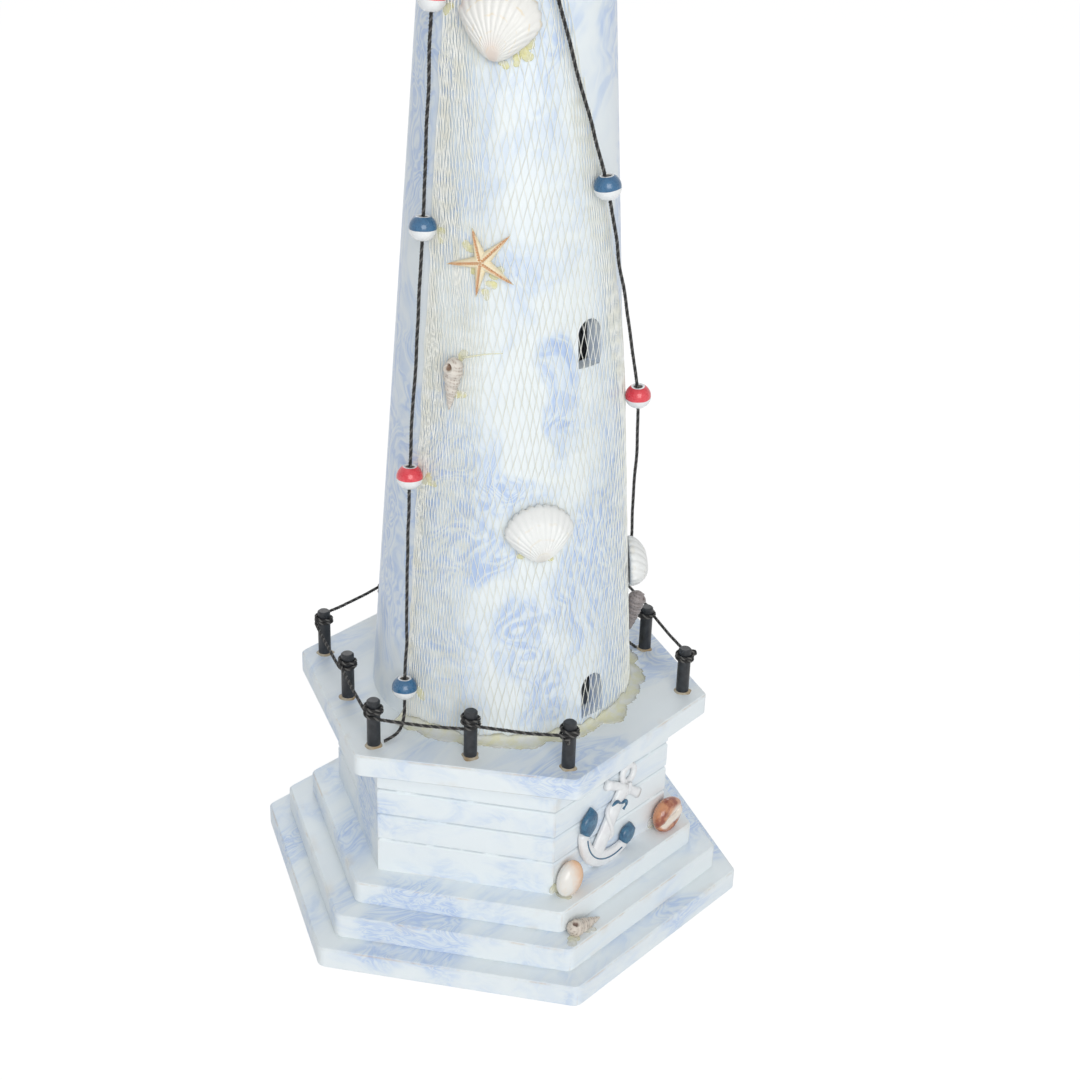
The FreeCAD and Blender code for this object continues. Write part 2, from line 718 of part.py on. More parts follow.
def bead(label, place, way):
    """A drilled wooden bead threaded on the cord."""
    ball = doc.addObject("Part::Sphere", f"{label}_ball")
    ball.setExpression("Radius", "sizes.bead_diameter / 2")
    drill = doc.addObject("Part::Cylinder", f"{label}_drill")
    drill.setExpression("Radius", "sizes.bead_bore / 2")
    drill.setExpression("Height", "sizes.bead_diameter * 2")
    drill.setExpression("Placement.Base.z", "-sizes.bead_diameter")
    thing = sub_part(doc.addObject("Part::Cut", label), label)
    thing.Base = ball
    thing.Tool = drill
    thing.Placement = FreeCAD.Placement(place, FreeCAD.Rotation(UP, way))


def garland(side, route, beads):
    """A cord through (angle, height, standoff) spots, with a bead threaded on each spot in beads.

    The cord bends at a bead's two ends and runs straight through its bore.
    """
    spots = [tower_point(*spot) for spot in route]
    points = []
    for i, spot in enumerate(spots):
        if i not in beads:
            points.append(spot)
            continue
        way = (spots[i - 1] - spots[i + 1]).normalize()
        points += [spot + way * BEAD_BEND, spot - way * BEAD_BEND]
        bead(f"bead_{side}_{beads.index(i) + 1}", spot, way)
    feature(f"garland_cord_{side}", routed_tube(points))


LEFT_GARLAND = [
    (-91.0, TIE_HEIGHT, CORD_ON_NET),
    (-92.6, 322.0, 3.2),
    (-92.0, 261.3, BEAD_STANDOFF),
    (-90.6, 188.2, BEAD_STANDOFF),
    (-91.2, 99.5, BEAD_STANDOFF),
    (-88.4, 16.7, BEAD_STANDOFF),
    (-87.0, 6.5, 6.4),
    (-85.0, 1.6, 11.0),
    (-86.2, 0.75, 18.2),
]
RIGHT_GARLAND = [
    (-85.0, TIE_HEIGHT, 2.0),
    (-61.0, 322.0, 3.4),
    (-38.0, 283.0, BEAD_STANDOFF),
    (-0.6, 202.8, BEAD_STANDOFF),
    (31.6, 121.6, BEAD_STANDOFF),
    (62.0, 40.0, BEAD_STANDOFF),
    (68.5, 15.0, 4.2),
    (69.0, 5.0, 4.8),
    (66.0, 1.0, 7.2),
    (62.6, 0.75, 8.5),
]

neck_cord()
garland("left", LEFT_GARLAND, (2, 3, 4, 5))
garland("right", RIGHT_GARLAND, (2, 3, 4, 5))

# ---------------------------------------------------------------- shells and other decorations

SHELL_GAP = value("sizes.shell_gap")


def layered(outlines):
    """A solid with straight sides between flat outlines of equally many corners."""
    rings = [Part.makePolygon(points + points[:1]) for points in outlines]
    return Part.makeLoft(rings, True, True)


def own(label, *names):
    """A decoration's own sizes, in the order of their names."""
    return [value(f"sizes.{label}_{name}") for name in names]


def cockle(label, ribs, placement):
    """A ribbed cockle valve with its beak at the origin and its fan along Y."""
    width, height, depth = own(label, "width", "length", "depth")
    fan, rib = 80.0, 0.025
    across, along = width / 2, height / 2
    outline = []
    for i in range(2 * ribs + 1):
        angle = math.radians(-fan + fan * i / ribs)
        reach = 2 * math.cos(angle) / along
        reach /= (math.sin(angle) / across) ** 2 + (math.cos(angle) / along) ** 2
        reach *= 1 + rib if i % 2 else 1 - rib
        outline.append(V(reach * math.sin(angle), reach * math.cos(angle), 0))
    outline.append(V(0, -0.05 * height, 0))
    dome = [(1.0, 0.0), (0.98, 0.12), (0.86, 0.5), (0.64, 0.8), (0.36, 0.96), (0.14, 1.0)]
    layers = [[p * share + UP * (rise * depth) for p in outline] for share, rise in dome]
    return feature(label, layered(layers), placement)


def starfish(label, placement):
    """A five-armed star with a low ridge along each arm."""
    reach = value(f"sizes.{label}_reach")
    layers = []
    for tip, notch, height in ((1.0, 0.27, 0.0), (1.0, 0.27, 0.08), (0.9, 0.1, 0.2)):
        star = []
        for i in range(10):
            radius = reach * (notch if i % 2 else tip)
            angle = math.radians(36 * i)
            star.append(V(radius * math.cos(angle), radius * math.sin(angle), reach * height))
        layers.append(star)
    return feature(label, layered(layers), placement)


def whorled_shell(label, whorls, placement):
    """A slender spiral shell that lies on a surface, its tip towards -Y."""
    length, diameter = own(label, "length", "width")
    radius = diameter / 2
    lips = [(i / whorls) ** 1.15 for i in range(whorls + 1)]
    edges = []
    for low, high in zip(lips, lips[1:]):
        middle = (low + high) / 2
        start = V(0.82 * radius * low, length * low, 0)
        end = V(0.82 * radius * high, length * high, 0)
        edges.append(Part.Arc(start, V(radius * middle * 1.06, length * middle, 0), end).toShape())
    rim = V(0.82 * radius, length, 0)
    edges.append(Part.makeLine(rim, V(0, length, 0)))
    edges.append(Part.makeLine(V(0, length, 0), ORIGIN))
    solid = Part.Face(Part.Wire(edges)).revolve(ORIGIN, V(0, 1, 0), 360)
    lean = math.degrees(math.atan(radius / length))
    lying = FreeCAD.Placement(V(0, -length / 2, SHELL_GAP), FreeCAD.Rotation(V(1, 0, 0), lean))
    return feature(label, solid, placement * lying)


def egg(length, width, depth):
    """An ellipsoid, longest along Y."""
    stretch = FreeCAD.Matrix()
    stretch.scale(width / 2, length / 2, depth / 2)
    return Part.makeSphere(1.0).transformGeometry(stretch)


def cowrie(label, length, width, depth, placement):
    """A cowrie with its slot on the outer, flattened side."""
    body = egg(length, width, depth)
    flat = Part.makeBox(2 * width, 2 * length, depth, V(-width, -length, 0.3 * depth))
    slot = egg(0.86 * length, 0.14 * width, 0.5 * depth)
    slot.translate(V(0, 0, 0.3 * depth))
    return feature(label, body.cut(flat).cut(slot), placement)


def anchor(label, placement):
    """A small cast anchor, crown at the origin and ring end along Y."""
    thickness = value("sizes.anchor_thickness")
    arms = Part.Wire(
        [
            Part.Arc(V(-18.5, 13, 0), V(0, 0, 0), V(18.5, 13, 0)).toShape(),
            Part.makeLine(V(18.5, 13, 0), V(14.5, 16, 0)),
            Part.Arc(V(14.5, 16, 0), V(0, 6, 0), V(-14.5, 16, 0)).toShape(),
            Part.makeLine(V(-14.5, 16, 0), V(-18.5, 13, 0)),
        ]
    )
    outlines = [arms]
    for side in (-1, 1):
        fluke = [V(8.5 * side, 16, 0), V(20.5 * side, 13, 0), V(19.5 * side, 24, 0)]
        outlines.append(Part.makePolygon(fluke + fluke[:1]))
    shank = [V(-3.8, 3, 0), V(3.8, 3, 0), V(2.8, 34, 0), V(-2.8, 34, 0)]
    stock = [V(-12, 29.5, 0), V(12, 29.5, 0), V(12, 34, 0), V(-12, 34, 0)]
    for bar in (shank, stock):
        outlines.append(Part.makePolygon(bar + bar[:1]))
    plates = [Part.Face(outline).extrude(UP * thickness) for outline in outlines]
    ring = Part.makeCylinder(5.0, 0.7 * thickness, V(0, 38, 0))
    ring = ring.cut(Part.makeCylinder(2.4, thickness, V(0, 38, 0)))
    casting = plates[0].multiFuse(plates[1:] + [ring]).removeSplitter()
    return feature(label, casting, placement)


ON_NET = NET_OUTSIDE + SHELL_GAP


def on_net(label, angle, spin):
    """A decoration's placement on the net: angle round the tower, its own rise, its turn."""
    return against_tower(angle, *own(label, "rise"), ON_NET, spin)


cockle("cockle_upper", 14, on_net("cockle_upper", -59.3, -8))
cockle("cockle_middle", 14, on_net("cockle_middle", -32.5, 2))
cockle("cockle_side", 12, on_net("cockle_side", 44.0, 12))
starfish("starfish", on_net("starfish", -62.1, -29))
whorled_shell("cerith_shell", 6, on_net("cerith_shell", -73.8, -9))
whorled_shell("turret_shell", 7, on_net("turret_shell", 42.5, 4))

# Decorations on the base: the drum's entrance side is at this Y, the ledges at these heights.
FRONT = -value(f"sizes.plinth_radius * {SIDE_FACTOR}")
UPPER_LEDGE = value(PLINTH_Z)
MIDDLE_LEDGE = value(UPPER_BOARD_Z)
FACING_FRONT = FreeCAD.Rotation(V(1, 0, 0), 90)
ANCHOR_LEAN = 33.0
STEP_SHELL_OUT = 3.685


def on_front(x, height, standoff, spin=0.0):
    """A placement on the entrance side: Z leaves the wall and Y runs up it."""
    spot = V(x, FRONT - standoff, height)
    return FreeCAD.Placement(spot, FACING_FRONT * FreeCAD.Rotation(UP, spin))


def on_drum(label, x, thickness, spin):
    """A decoration's placement on the drum, its middle half its thickness off the wall."""
    height = UPPER_LEDGE + value(f"sizes.{label}_rise")
    return on_front(x, height, thickness / 2 + SHELL_GAP, spin)


anchor("anchor", on_drum("anchor", -13.0, 0.0, -ANCHOR_LEAN))
cowrie_sizes = own("cowrie", "length", "width", "depth")
cowrie("cowrie", *cowrie_sizes, on_drum("cowrie", 31.0, cowrie_sizes[-1], -62))
corner_sizes = own("corner_shell", "length", "width", "depth")
feature("corner_shell", egg(*corner_sizes), on_drum("corner_shell", -29.0, corner_sizes[-1], -12))
step_shell_y = -value(f"sizes.upper_board_radius * {SIDE_FACTOR}") - STEP_SHELL_OUT
ALONG_STEP = FreeCAD.Placement(
    V(-31.5, step_shell_y, MIDDLE_LEDGE + SHELL_GAP), FreeCAD.Rotation(UP, 88)
)
whorled_shell("step_shell", 6, ALONG_STEP)

# ---------------------------------------------------------------- lantern and roof


def lantern_frame():
    """The hexagonal lantern room with one round-headed window in each side."""
    body = new_body("lantern_frame", GALLERY_TOP, "sizes.deck_turn")
    outside = hexagon_sketch(body, "lantern_outline", "sizes.lantern_radius")
    pad(body, "lantern_pad", outside, "sizes.lantern_height")
    inside = hexagon_sketch(body, "lantern_room", LANTERN_INNER_RADIUS, "sizes.lantern_height")
    pocket(body, "lantern_hollow", inside, "sizes.lantern_height")
    window = arch_sketch(
        body,
        "lantern_window_outline",
        "sizes.lantern_window_width",
        "sizes.lantern_window_height",
        "sizes.lantern_window_sill",
    )
    cut = pocket(body, "lantern_window", window, "sizes.lantern_radius", reverse=True)
    ring = body.newObject("PartDesign::PolarPattern", "lantern_windows")
    ring.Originals = [cut]
    ring.Axis = (origin_feature(body, "Z_Axis"), [""])
    ring.Angle = 360
    ring.Occurrences = HEXAGON
    body.Tip = ring
    doc.recompute()


def lantern_glazing():
    body = new_body("lantern_glazing", GALLERY_TOP, "sizes.deck_turn")
    outside = hexagon_sketch(body, "glazing_outline", GLAZING_RADIUS)
    height = "sizes.lantern_height - sizes.roof_plug_depth - sizes.roof_gap"
    pad(body, "glazing_pad", outside, height)
    inside = hexagon_sketch(body, "glazing_room", GLAZING_INNER_RADIUS, height)
    pocket(body, "glazing_hollow", inside, height)


def roof():
    """Eave board with the plug that drops into the lantern, pyramid cap and ball finial."""
    board = step_board(
        "roof_board", "sizes.roof_board_radius", "sizes.roof_board_height", ROOF_Z, "sizes.deck_turn"
    )
    plug = hexagon_sketch(board, "roof_plug_outline", ROOF_PLUG_RADIUS)
    pad(board, "roof_plug", plug, "sizes.roof_plug_depth", downwards=True)

    cap = new_body("roof_cap", ROOF_CAP_Z, "sizes.deck_turn")
    eave = hexagon_sketch(cap, "roof_eave", "sizes.roof_cap_radius")
    tip = hexagon_sketch(cap, "roof_tip", "sizes.roof_tip_radius", "sizes.roof_cap_height")
    loft = cap.newObject("PartDesign::AdditiveLoft", "roof_pyramid")
    loft.Profile = eave
    loft.Sections = [tip]
    loft.Ruled = True
    cap.Tip = loft

    neck = doc.addObject("Part::Cylinder", "finial_neck")
    neck.setExpression("Radius", "sizes.finial_neck_diameter / 2")
    neck.setExpression("Height", "sizes.finial_neck_height + sizes.finial_ball_diameter / 4")
    ball = doc.addObject("Part::Sphere", "finial_ball")
    ball.setExpression("Radius", "sizes.finial_ball_diameter / 2")
    ball.setExpression(
        "Placement.Base.z", "sizes.finial_neck_height + sizes.finial_ball_diameter / 2 - 0.4"
    )
    finial = sub_part(doc.addObject("Part::Fuse", "finial"), "finial")
    finial.Base = neck
    finial.Tool = ball
    finial.setExpression("Placement.Base.z", FINIAL_Z)


lantern_frame()
lantern_glazing()
roof()

# ---------------------------------------------------------------- light unit in the lantern


def light_unit():
    """A round battery light: housing, cover, cell, lamp, diffuser and slide switch."""
    base = new_body("light_base", GALLERY_TOP)
    drum = circle_sketch(base, "light_outline", "sizes.light_radius")
    pad(base, "light_drum", drum, "sizes.light_height")
    dress_edges(base, "light_rim", "Chamfer", is_top_rim, "sizes.board_edge_bevel")
    cavity_depth = "sizes.light_height - sizes.light_wall"
    cavity = circle_sketch(base, "light_room", "sizes.light_radius - sizes.light_wall")
    pocket(base, "light_hollow", cavity, cavity_depth, reverse=True)
    hole = circle_sketch(base, "lamp_hole_outline", "sizes.led_diameter / 2 + sizes.light_fit / 2")
    pocket(base, "lamp_hole", hole, "sizes.light_height + 1", reverse=True)
    slot = rectangle_sketch(
        base,
        "slot_outline",
        "sizes.switch_width + sizes.switch_travel + 2 * sizes.light_fit",
        "sizes.slot_width",
        centre_y="-sizes.slot_offset",
    )
    pocket(base, "slot", slot, "sizes.light_height + 1", reverse=True)

    cover = new_body("light_cover", GALLERY_TOP)
    disc = circle_sketch(
        cover, "cover_outline", "sizes.light_radius - sizes.light_wall - sizes.light_fit"
    )
    pad(cover, "cover_disc", disc, "sizes.light_cover_thickness")

    cell = new_body("light_cell", f"{GALLERY_TOP} + sizes.light_cover_thickness")
    outline = circle_sketch(cell, "cell_outline", "sizes.cell_diameter / 2")
    pad(cell, "cell_disc", outline, "sizes.cell_thickness")

    flange_z = f"{GALLERY_TOP} + sizes.light_height - sizes.light_wall - sizes.led_flange"
    lamp = new_body("light_lamp", flange_z)
    flange = circle_sketch(lamp, "lamp_flange_outline", "sizes.led_diameter / 2 + 0.5")
    pad(lamp, "lamp_flange", flange, "sizes.led_flange")
    lens = circle_sketch(lamp, "lamp_lens_outline", "sizes.led_diameter / 2")
    pad(lamp, "lamp_lens", lens, "sizes.led_flange + sizes.light_wall + sizes.led_height")
    dress_edges(lamp, "lamp_dome", "Fillet", is_top_rim, "sizes.led_diameter / 2 * 0.96")

    diffuser()
    slide_switch()


def round_topped(name, radius, height):
    """A cylinder with a half ball on it, height tall in all."""
    shaft = doc.addObject("Part::Cylinder", f"{name}_shaft")
    shaft.setExpression("Radius", radius)
    shaft.setExpression("Height", f"{height} - ({radius})")
    cap = doc.addObject("Part::Sphere", f"{name}_cap")
    cap.Angle1 = 0
    cap.setExpression("Radius", radius)
    cap.setExpression("Placement.Base.z", f"{height} - ({radius})")
    whole = doc.addObject("Part::Fuse", name)
    whole.Base = shaft
    whole.Tool = cap
    return whole


def diffuser():
    outside = round_topped("dome_outside", "sizes.dome_radius", "sizes.dome_height")
    inside = round_topped(
        "dome_inside", "sizes.dome_radius - sizes.dome_wall", "sizes.dome_height - sizes.dome_wall"
    )
    dome = sub_part(doc.addObject("Part::Cut", "light_dome"), "light_dome")
    dome.Base = outside
    dome.Tool = inside
    dome.setExpression("Placement.Base.z", f"{GALLERY_TOP} + sizes.light_height")


def slide_switch():
    """Thumb piece, stem and foot of the switch, held by the slot in the housing."""
    body = new_body("light_switch", GALLERY_TOP)
    body.setExpression("Placement.Base.x", "-sizes.switch_travel / 2")
    body.setExpression("Placement.Base.y", "-sizes.slot_offset")
    under = "sizes.light_height - sizes.light_wall - sizes.light_fit"
    foot_z = f"{under} - sizes.switch_foot_height"
    stem_height = "sizes.switch_foot_height + sizes.light_wall + 2 * sizes.light_fit"
    wide, narrow = "sizes.switch_thumb", "sizes.switch_width"
    foot = rectangle_sketch(body, "switch_foot_outline", wide, wide, offset=foot_z)
    pad(body, "switch_foot", foot, "sizes.switch_foot_height")
    stem = rectangle_sketch(body, "switch_stem_outline", narrow, narrow, offset=foot_z)
    pad(body, "switch_stem", stem, stem_height)
    top_z = f"{foot_z} + {stem_height}"
    thumb = rectangle_sketch(body, "switch_thumb_outline", wide, wide, offset=top_z)
    pad(body, "switch_thumb", thumb, "sizes.switch_thumb_height")


light_unit()

# ---------------------------------------------------------------- checks and output

doc.recompute()
failed = [o.Name for o in doc.Objects if {"Invalid", "Error"} & set(o.State)]
assert not failed, f"these objects failed: {failed}"
os.makedirs("parts", exist_ok=True)
for piece in sub_parts:
    shape = piece.Shape
    assert not shape.isNull() and shape.isValid(), f"{piece.Label} has a bad shape"
    assert shape.Solids, f"{piece.Label} has no solid"
    shape.exportStep(f"parts/{piece.Label}.step")
    print(f"{piece.Label}: {len(shape.Solids)} solid, {shape.Volume:.1f} mm3")
print(f"{len(sub_parts)} pieces")
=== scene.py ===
import random
from math import atan, atan2, copysign, cos, degrees, exp, hypot, pi, radians, remainder, sin, sqrt

import bmesh
import bpy
from mathutils import Matrix, Vector, noise

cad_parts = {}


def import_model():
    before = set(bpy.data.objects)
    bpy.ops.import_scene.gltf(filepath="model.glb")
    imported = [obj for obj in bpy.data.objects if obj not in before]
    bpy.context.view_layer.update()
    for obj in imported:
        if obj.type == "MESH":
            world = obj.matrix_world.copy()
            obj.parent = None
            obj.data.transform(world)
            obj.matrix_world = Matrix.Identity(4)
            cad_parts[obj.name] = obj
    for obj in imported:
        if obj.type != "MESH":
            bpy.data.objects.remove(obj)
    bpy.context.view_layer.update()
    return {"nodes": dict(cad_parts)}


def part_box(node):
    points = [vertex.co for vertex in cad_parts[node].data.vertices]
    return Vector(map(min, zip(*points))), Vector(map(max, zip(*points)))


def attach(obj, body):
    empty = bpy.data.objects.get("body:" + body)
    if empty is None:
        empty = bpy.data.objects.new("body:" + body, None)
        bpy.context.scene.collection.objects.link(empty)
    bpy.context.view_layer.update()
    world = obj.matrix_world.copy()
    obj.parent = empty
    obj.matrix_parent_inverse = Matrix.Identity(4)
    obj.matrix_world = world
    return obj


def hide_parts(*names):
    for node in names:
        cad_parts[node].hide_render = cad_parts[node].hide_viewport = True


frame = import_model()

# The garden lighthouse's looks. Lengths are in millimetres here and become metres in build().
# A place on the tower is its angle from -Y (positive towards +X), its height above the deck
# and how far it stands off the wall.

MM = 0.001
UP = Vector((0, 0, 1))
random.seed(11)


def middle_mm(node):
    low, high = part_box(node)
    return (low + high) / (2 * MM)


def top_mm(node):
    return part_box(node)[1].z / MM


def base_mm(node):
    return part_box(node)[0].z / MM


# ---------------- camera, light and stage

CAMERA_SPOT = Vector((-437.242, -390.226, 427.267))
CAMERA_RIGHT = Vector((0.658814, -0.751694, 0.030337))
CAMERA_DOWN = Vector((-0.306869, -0.305332, -0.901445))
CAMERA_LENS = 56.459
LIGHTS_AIM = Vector((0, 0, 0.22))
SKY_COLOUR = (0.92, 0.96, 1.0, 1)
SKY_STRENGTH = 0.46
FLOOR_REACH = 6.0
FLOOR_DEPTH = 0.0002
FLOOR_GLOW = 1.10
FLOOR_GLOW_SHARE = 0.86


def camera():
    """The photograph's camera, worked out from the edges of the boards."""
    ahead = CAMERA_RIGHT.cross(CAMERA_DOWN)
    turned = Matrix((CAMERA_RIGHT, -CAMERA_DOWN, -ahead)).transposed().to_4x4()
    data = bpy.data.cameras.new("camera")
    data.lens = CAMERA_LENS
    data.sensor_width = 36.0
    data.clip_start = 0.01
    data.clip_end = 50.0
    thing = bpy.data.objects.new("camera", data)
    thing.matrix_world = Matrix.Translation(CAMERA_SPOT * MM) @ turned
    bpy.context.scene.collection.objects.link(thing)
    bpy.context.scene.camera = thing


def softbox(name, around, above, distance, power, size):
    """A square area light, around degrees from +X and above the horizon, aimed at the tower."""
    data = bpy.data.lights.new(name, "AREA")
    data.energy = power
    data.size = size
    around, above = radians(around), radians(above)
    out = Vector(
        (cos(around) * cos(above), sin(around) * cos(above), sin(above))
    )
    thing = bpy.data.objects.new(name, data)
    thing.location = LIGHTS_AIM + out * distance
    thing.rotation_mode = "QUATERNION"
    thing.rotation_quaternion = (-out).to_track_quat("-Z", "Y")
    bpy.context.scene.collection.objects.link(thing)


def seen_directly(tree):
    """1 for camera, glossy and transmission rays, else 0."""
    path = tree.nodes.new("ShaderNodeLightPath")
    either = path.outputs["Is Camera Ray"]
    for kind in ("Is Glossy Ray", "Is Transmission Ray"):
        wider = tree.nodes.new("ShaderNodeMath")
        wider.operation = "MAXIMUM"
        tree.links.new(either, wider.inputs[0])
        tree.links.new(path.outputs[kind], wider.inputs[1])
        either = wider.outputs[0]
    return either


def world():
    surroundings = bpy.data.worlds.new("studio")
    bpy.context.scene.world = surroundings
    surroundings.use_nodes = True
    tree = surroundings.node_tree
    lighting = tree.nodes["Background"]
    lighting.inputs["Color"].default_value = SKY_COLOUR
    lighting.inputs["Strength"].default_value = SKY_STRENGTH
    seen = tree.nodes.new("ShaderNodeBackground")
    seen.inputs["Color"].default_value = (1, 1, 1, 1)
    choice = tree.nodes.new("ShaderNodeMixShader")
    tree.links.new(seen_directly(tree), choice.inputs["Fac"])
    tree.links.new(lighting.outputs[0], choice.inputs[1])
    tree.links.new(seen.outputs[0], choice.inputs[2])
    tree.links.new(choice.outputs[0], tree.nodes["World Output"].inputs["Surface"])


def floor():
    """A white floor that is mostly its own colour to the camera, with the object's soft shadow."""
    mesh = bpy.data.meshes.new("floor")
    corners = ((-1, -1), (1, -1), (1, 1), (-1, 1))
    points = [(x * FLOOR_REACH, y * FLOOR_REACH, -FLOOR_DEPTH) for x, y in corners]
    mesh.from_pydata(points, [], [(0, 1, 2, 3)])
    thing = bpy.data.objects.new("floor", mesh)
    bpy.context.scene.collection.objects.link(thing)
    material = bpy.data.materials.new("floor")
    material.use_nodes = True
    tree = material.node_tree
    tree.nodes.remove(tree.nodes["Principled BSDF"])
    matt = tree.nodes.new("ShaderNodeBsdfDiffuse")
    matt.inputs["Color"].default_value = (0.88, 0.89, 0.90, 1)
    plain = tree.nodes.new("ShaderNodeEmission")
    plain.inputs["Strength"].default_value = FLOOR_GLOW
    share = tree.nodes.new("ShaderNodeMath")
    share.operation = "MULTIPLY"
    share.inputs[1].default_value = FLOOR_GLOW_SHARE
    tree.links.new(seen_directly(tree), share.inputs[0])
    blend = tree.nodes.new("ShaderNodeMixShader")
    tree.links.new(share.outputs[0], blend.inputs["Fac"])
    tree.links.new(matt.outputs[0], blend.inputs[1])
    tree.links.new(plain.outputs[0], blend.inputs[2])
    tree.links.new(blend.outputs[0], tree.nodes["Material Output"].inputs["Surface"])
    mesh.materials.append(material)


bpy.context.scene.view_settings.view_transform = "Standard"
camera()
world()
floor()
softbox("key", around=-128, above=20, distance=1.7, power=14.8, size=1.1)
softbox("fill", around=55, above=35, distance=1.8, power=6.0, size=1.2)

# ---------------- material building


class Finish:
    """Builds one material; an argument that is a socket is linked, anything else is set."""

    def __init__(self, name, **constants):
        self.material = bpy.data.materials.new(name)
        self.material.use_nodes = True
        self.tree = self.material.node_tree
        self.shader = self.tree.nodes["Principled BSDF"]
        for label, number in constants.items():
            self.shader.inputs[label.replace("_", " ")].default_value = number
        self.place = self.tree.nodes.new("ShaderNodeTexCoord").outputs["Object"]

    def put(self, socket, given):
        if isinstance(given, bpy.types.NodeSocket):
            self.tree.links.new(given, socket)
        else:
            socket.default_value = given

    def math(self, operation, a, b=0.0):
        node = self.tree.nodes.new("ShaderNodeMath")
        node.operation = operation
        self.put(node.inputs[0], a)
        self.put(node.inputs[1], b)
        return node.outputs[0]

    def times(self, a, b):
        return self.math("MULTIPLY", a, b)

    def vector(self, operation, a, b=(0, 0, 0), output=0):
        node = self.tree.nodes.new("ShaderNodeVectorMath")
        node.operation = operation
        self.put(node.inputs[0], a)
        self.put(node.inputs[1], b)
        return node.outputs[output]

    def noise(self, at, size, detail=3.0, rough=0.5, colour=False):
        """Noise whose blotches are about size millimetres across."""
        node = self.tree.nodes.new("ShaderNodeTexNoise")
        self.put(node.inputs["Vector"], at)
        node.inputs["Scale"].default_value = 1 / (size * MM)
        node.inputs["Detail"].default_value = detail
        node.inputs["Roughness"].default_value = rough
        return node.outputs[1 if colour else 0]

    def warped(self, at, size, reach):
        """The position pushed about by up to reach millimetres."""
        push = self.vector("SUBTRACT", self.noise(at, size, 2.0, colour=True), (0.5, 0.5, 0.5))
        return self.vector("ADD", at, self.vector("MULTIPLY", push, (2 * reach * MM,) * 3))

    def stretched(self, at, x, y, z):
        return self.vector("DIVIDE", at, (x, y, z))

    def step(self, amount, low, high):
        node = self.tree.nodes.new("ShaderNodeMapRange")
        node.interpolation_type = "SMOOTHSTEP"
        self.put(node.inputs["Value"], amount)
        node.inputs["From Min"].default_value = low
        node.inputs["From Max"].default_value = high
        return node.outputs[0]

    def mix(self, share, a, b):
        node = self.tree.nodes.new("ShaderNodeMix")
        node.data_type = "RGBA"
        self.put(node.inputs[0], share)
        self.put(node.inputs[6], a)
        self.put(node.inputs[7], b)
        return node.outputs[2]

    def patch(self, at, centre, size):
        """1 inside an ellipsoid of millimetres, falling to 0 at its skin."""
        off = self.vector("SUBTRACT", at, tuple(c * MM for c in centre))
        off = self.vector("DIVIDE", off, tuple(s * MM for s in size))
        return self.step(self.vector("LENGTH", off, output=1), 1.0, 0.35)

    def clouds(self, at, spots):
        """The most that any ellipsoid holds here; each is a centre and its half sizes."""
        most = 0.0
        for centre, size in spots:
            most = self.math("MAXIMUM", self.patch(at, centre, size), most)
        return most

    def attribute(self, name):
        node = self.tree.nodes.new("ShaderNodeAttribute")
        node.attribute_name = name
        return node.outputs["Fac"]

    def colour(self, given):
        self.put(self.shader.inputs["Base Color"], given)

    def roughness(self, given):
        self.put(self.shader.inputs["Roughness"], given)

    def bump(self, height, depth, strength=1.0):
        node = self.tree.nodes.new("ShaderNodeBump")
        node.inputs["Strength"].default_value = strength
        node.inputs["Distance"].default_value = depth * MM
        self.put(node.inputs["Height"], height)
        self.put(self.shader.inputs["Normal"], node.outputs["Normal"])

    def hexagon_edge(self, low, high, corner_radius, turn):
        """Distance in metres to the nearest edge of a hexagonal block, on its surface."""
        flats = []
        for k in range(3):
            angle = radians(30 + 60 * k + turn)
            normal = (cos(angle), sin(angle), 0)
            across = self.math("ABSOLUTE", self.vector("DOT_PRODUCT", self.place, normal, 1))
            flats.append(self.math("SUBTRACT", corner_radius * SIDE * MM, across))
        height = self.vector("DOT_PRODUCT", self.place, (0, 0, 1), 1)
        from_middle = self.math("ABSOLUTE", self.math("SUBTRACT", height, (low + high) / 2 * MM))
        flats.append(self.math("SUBTRACT", (high - low) / 2 * MM, from_middle))
        a, b, c, d = flats
        low_ab, high_ab = self.math("MINIMUM", a, b), self.math("MAXIMUM", a, b)
        low_cd, high_cd = self.math("MINIMUM", c, d), self.math("MAXIMUM", c, d)
        either = self.math("MINIMUM", high_ab, high_cd)
        return self.math("MINIMUM", either, self.math("MAXIMUM", low_ab, low_cd))


SIDE = cos(radians(30))
CLEAN_WHITE = (0.86, 0.905, 0.915, 1)
PALE_BLUE = (0.62, 0.725, 0.875, 1)
SOFT_BLUE = (0.43, 0.56, 0.83, 1)
OLD_WOOD = (0.60, 0.36, 0.16, 1)


RIPPLES = 105.0


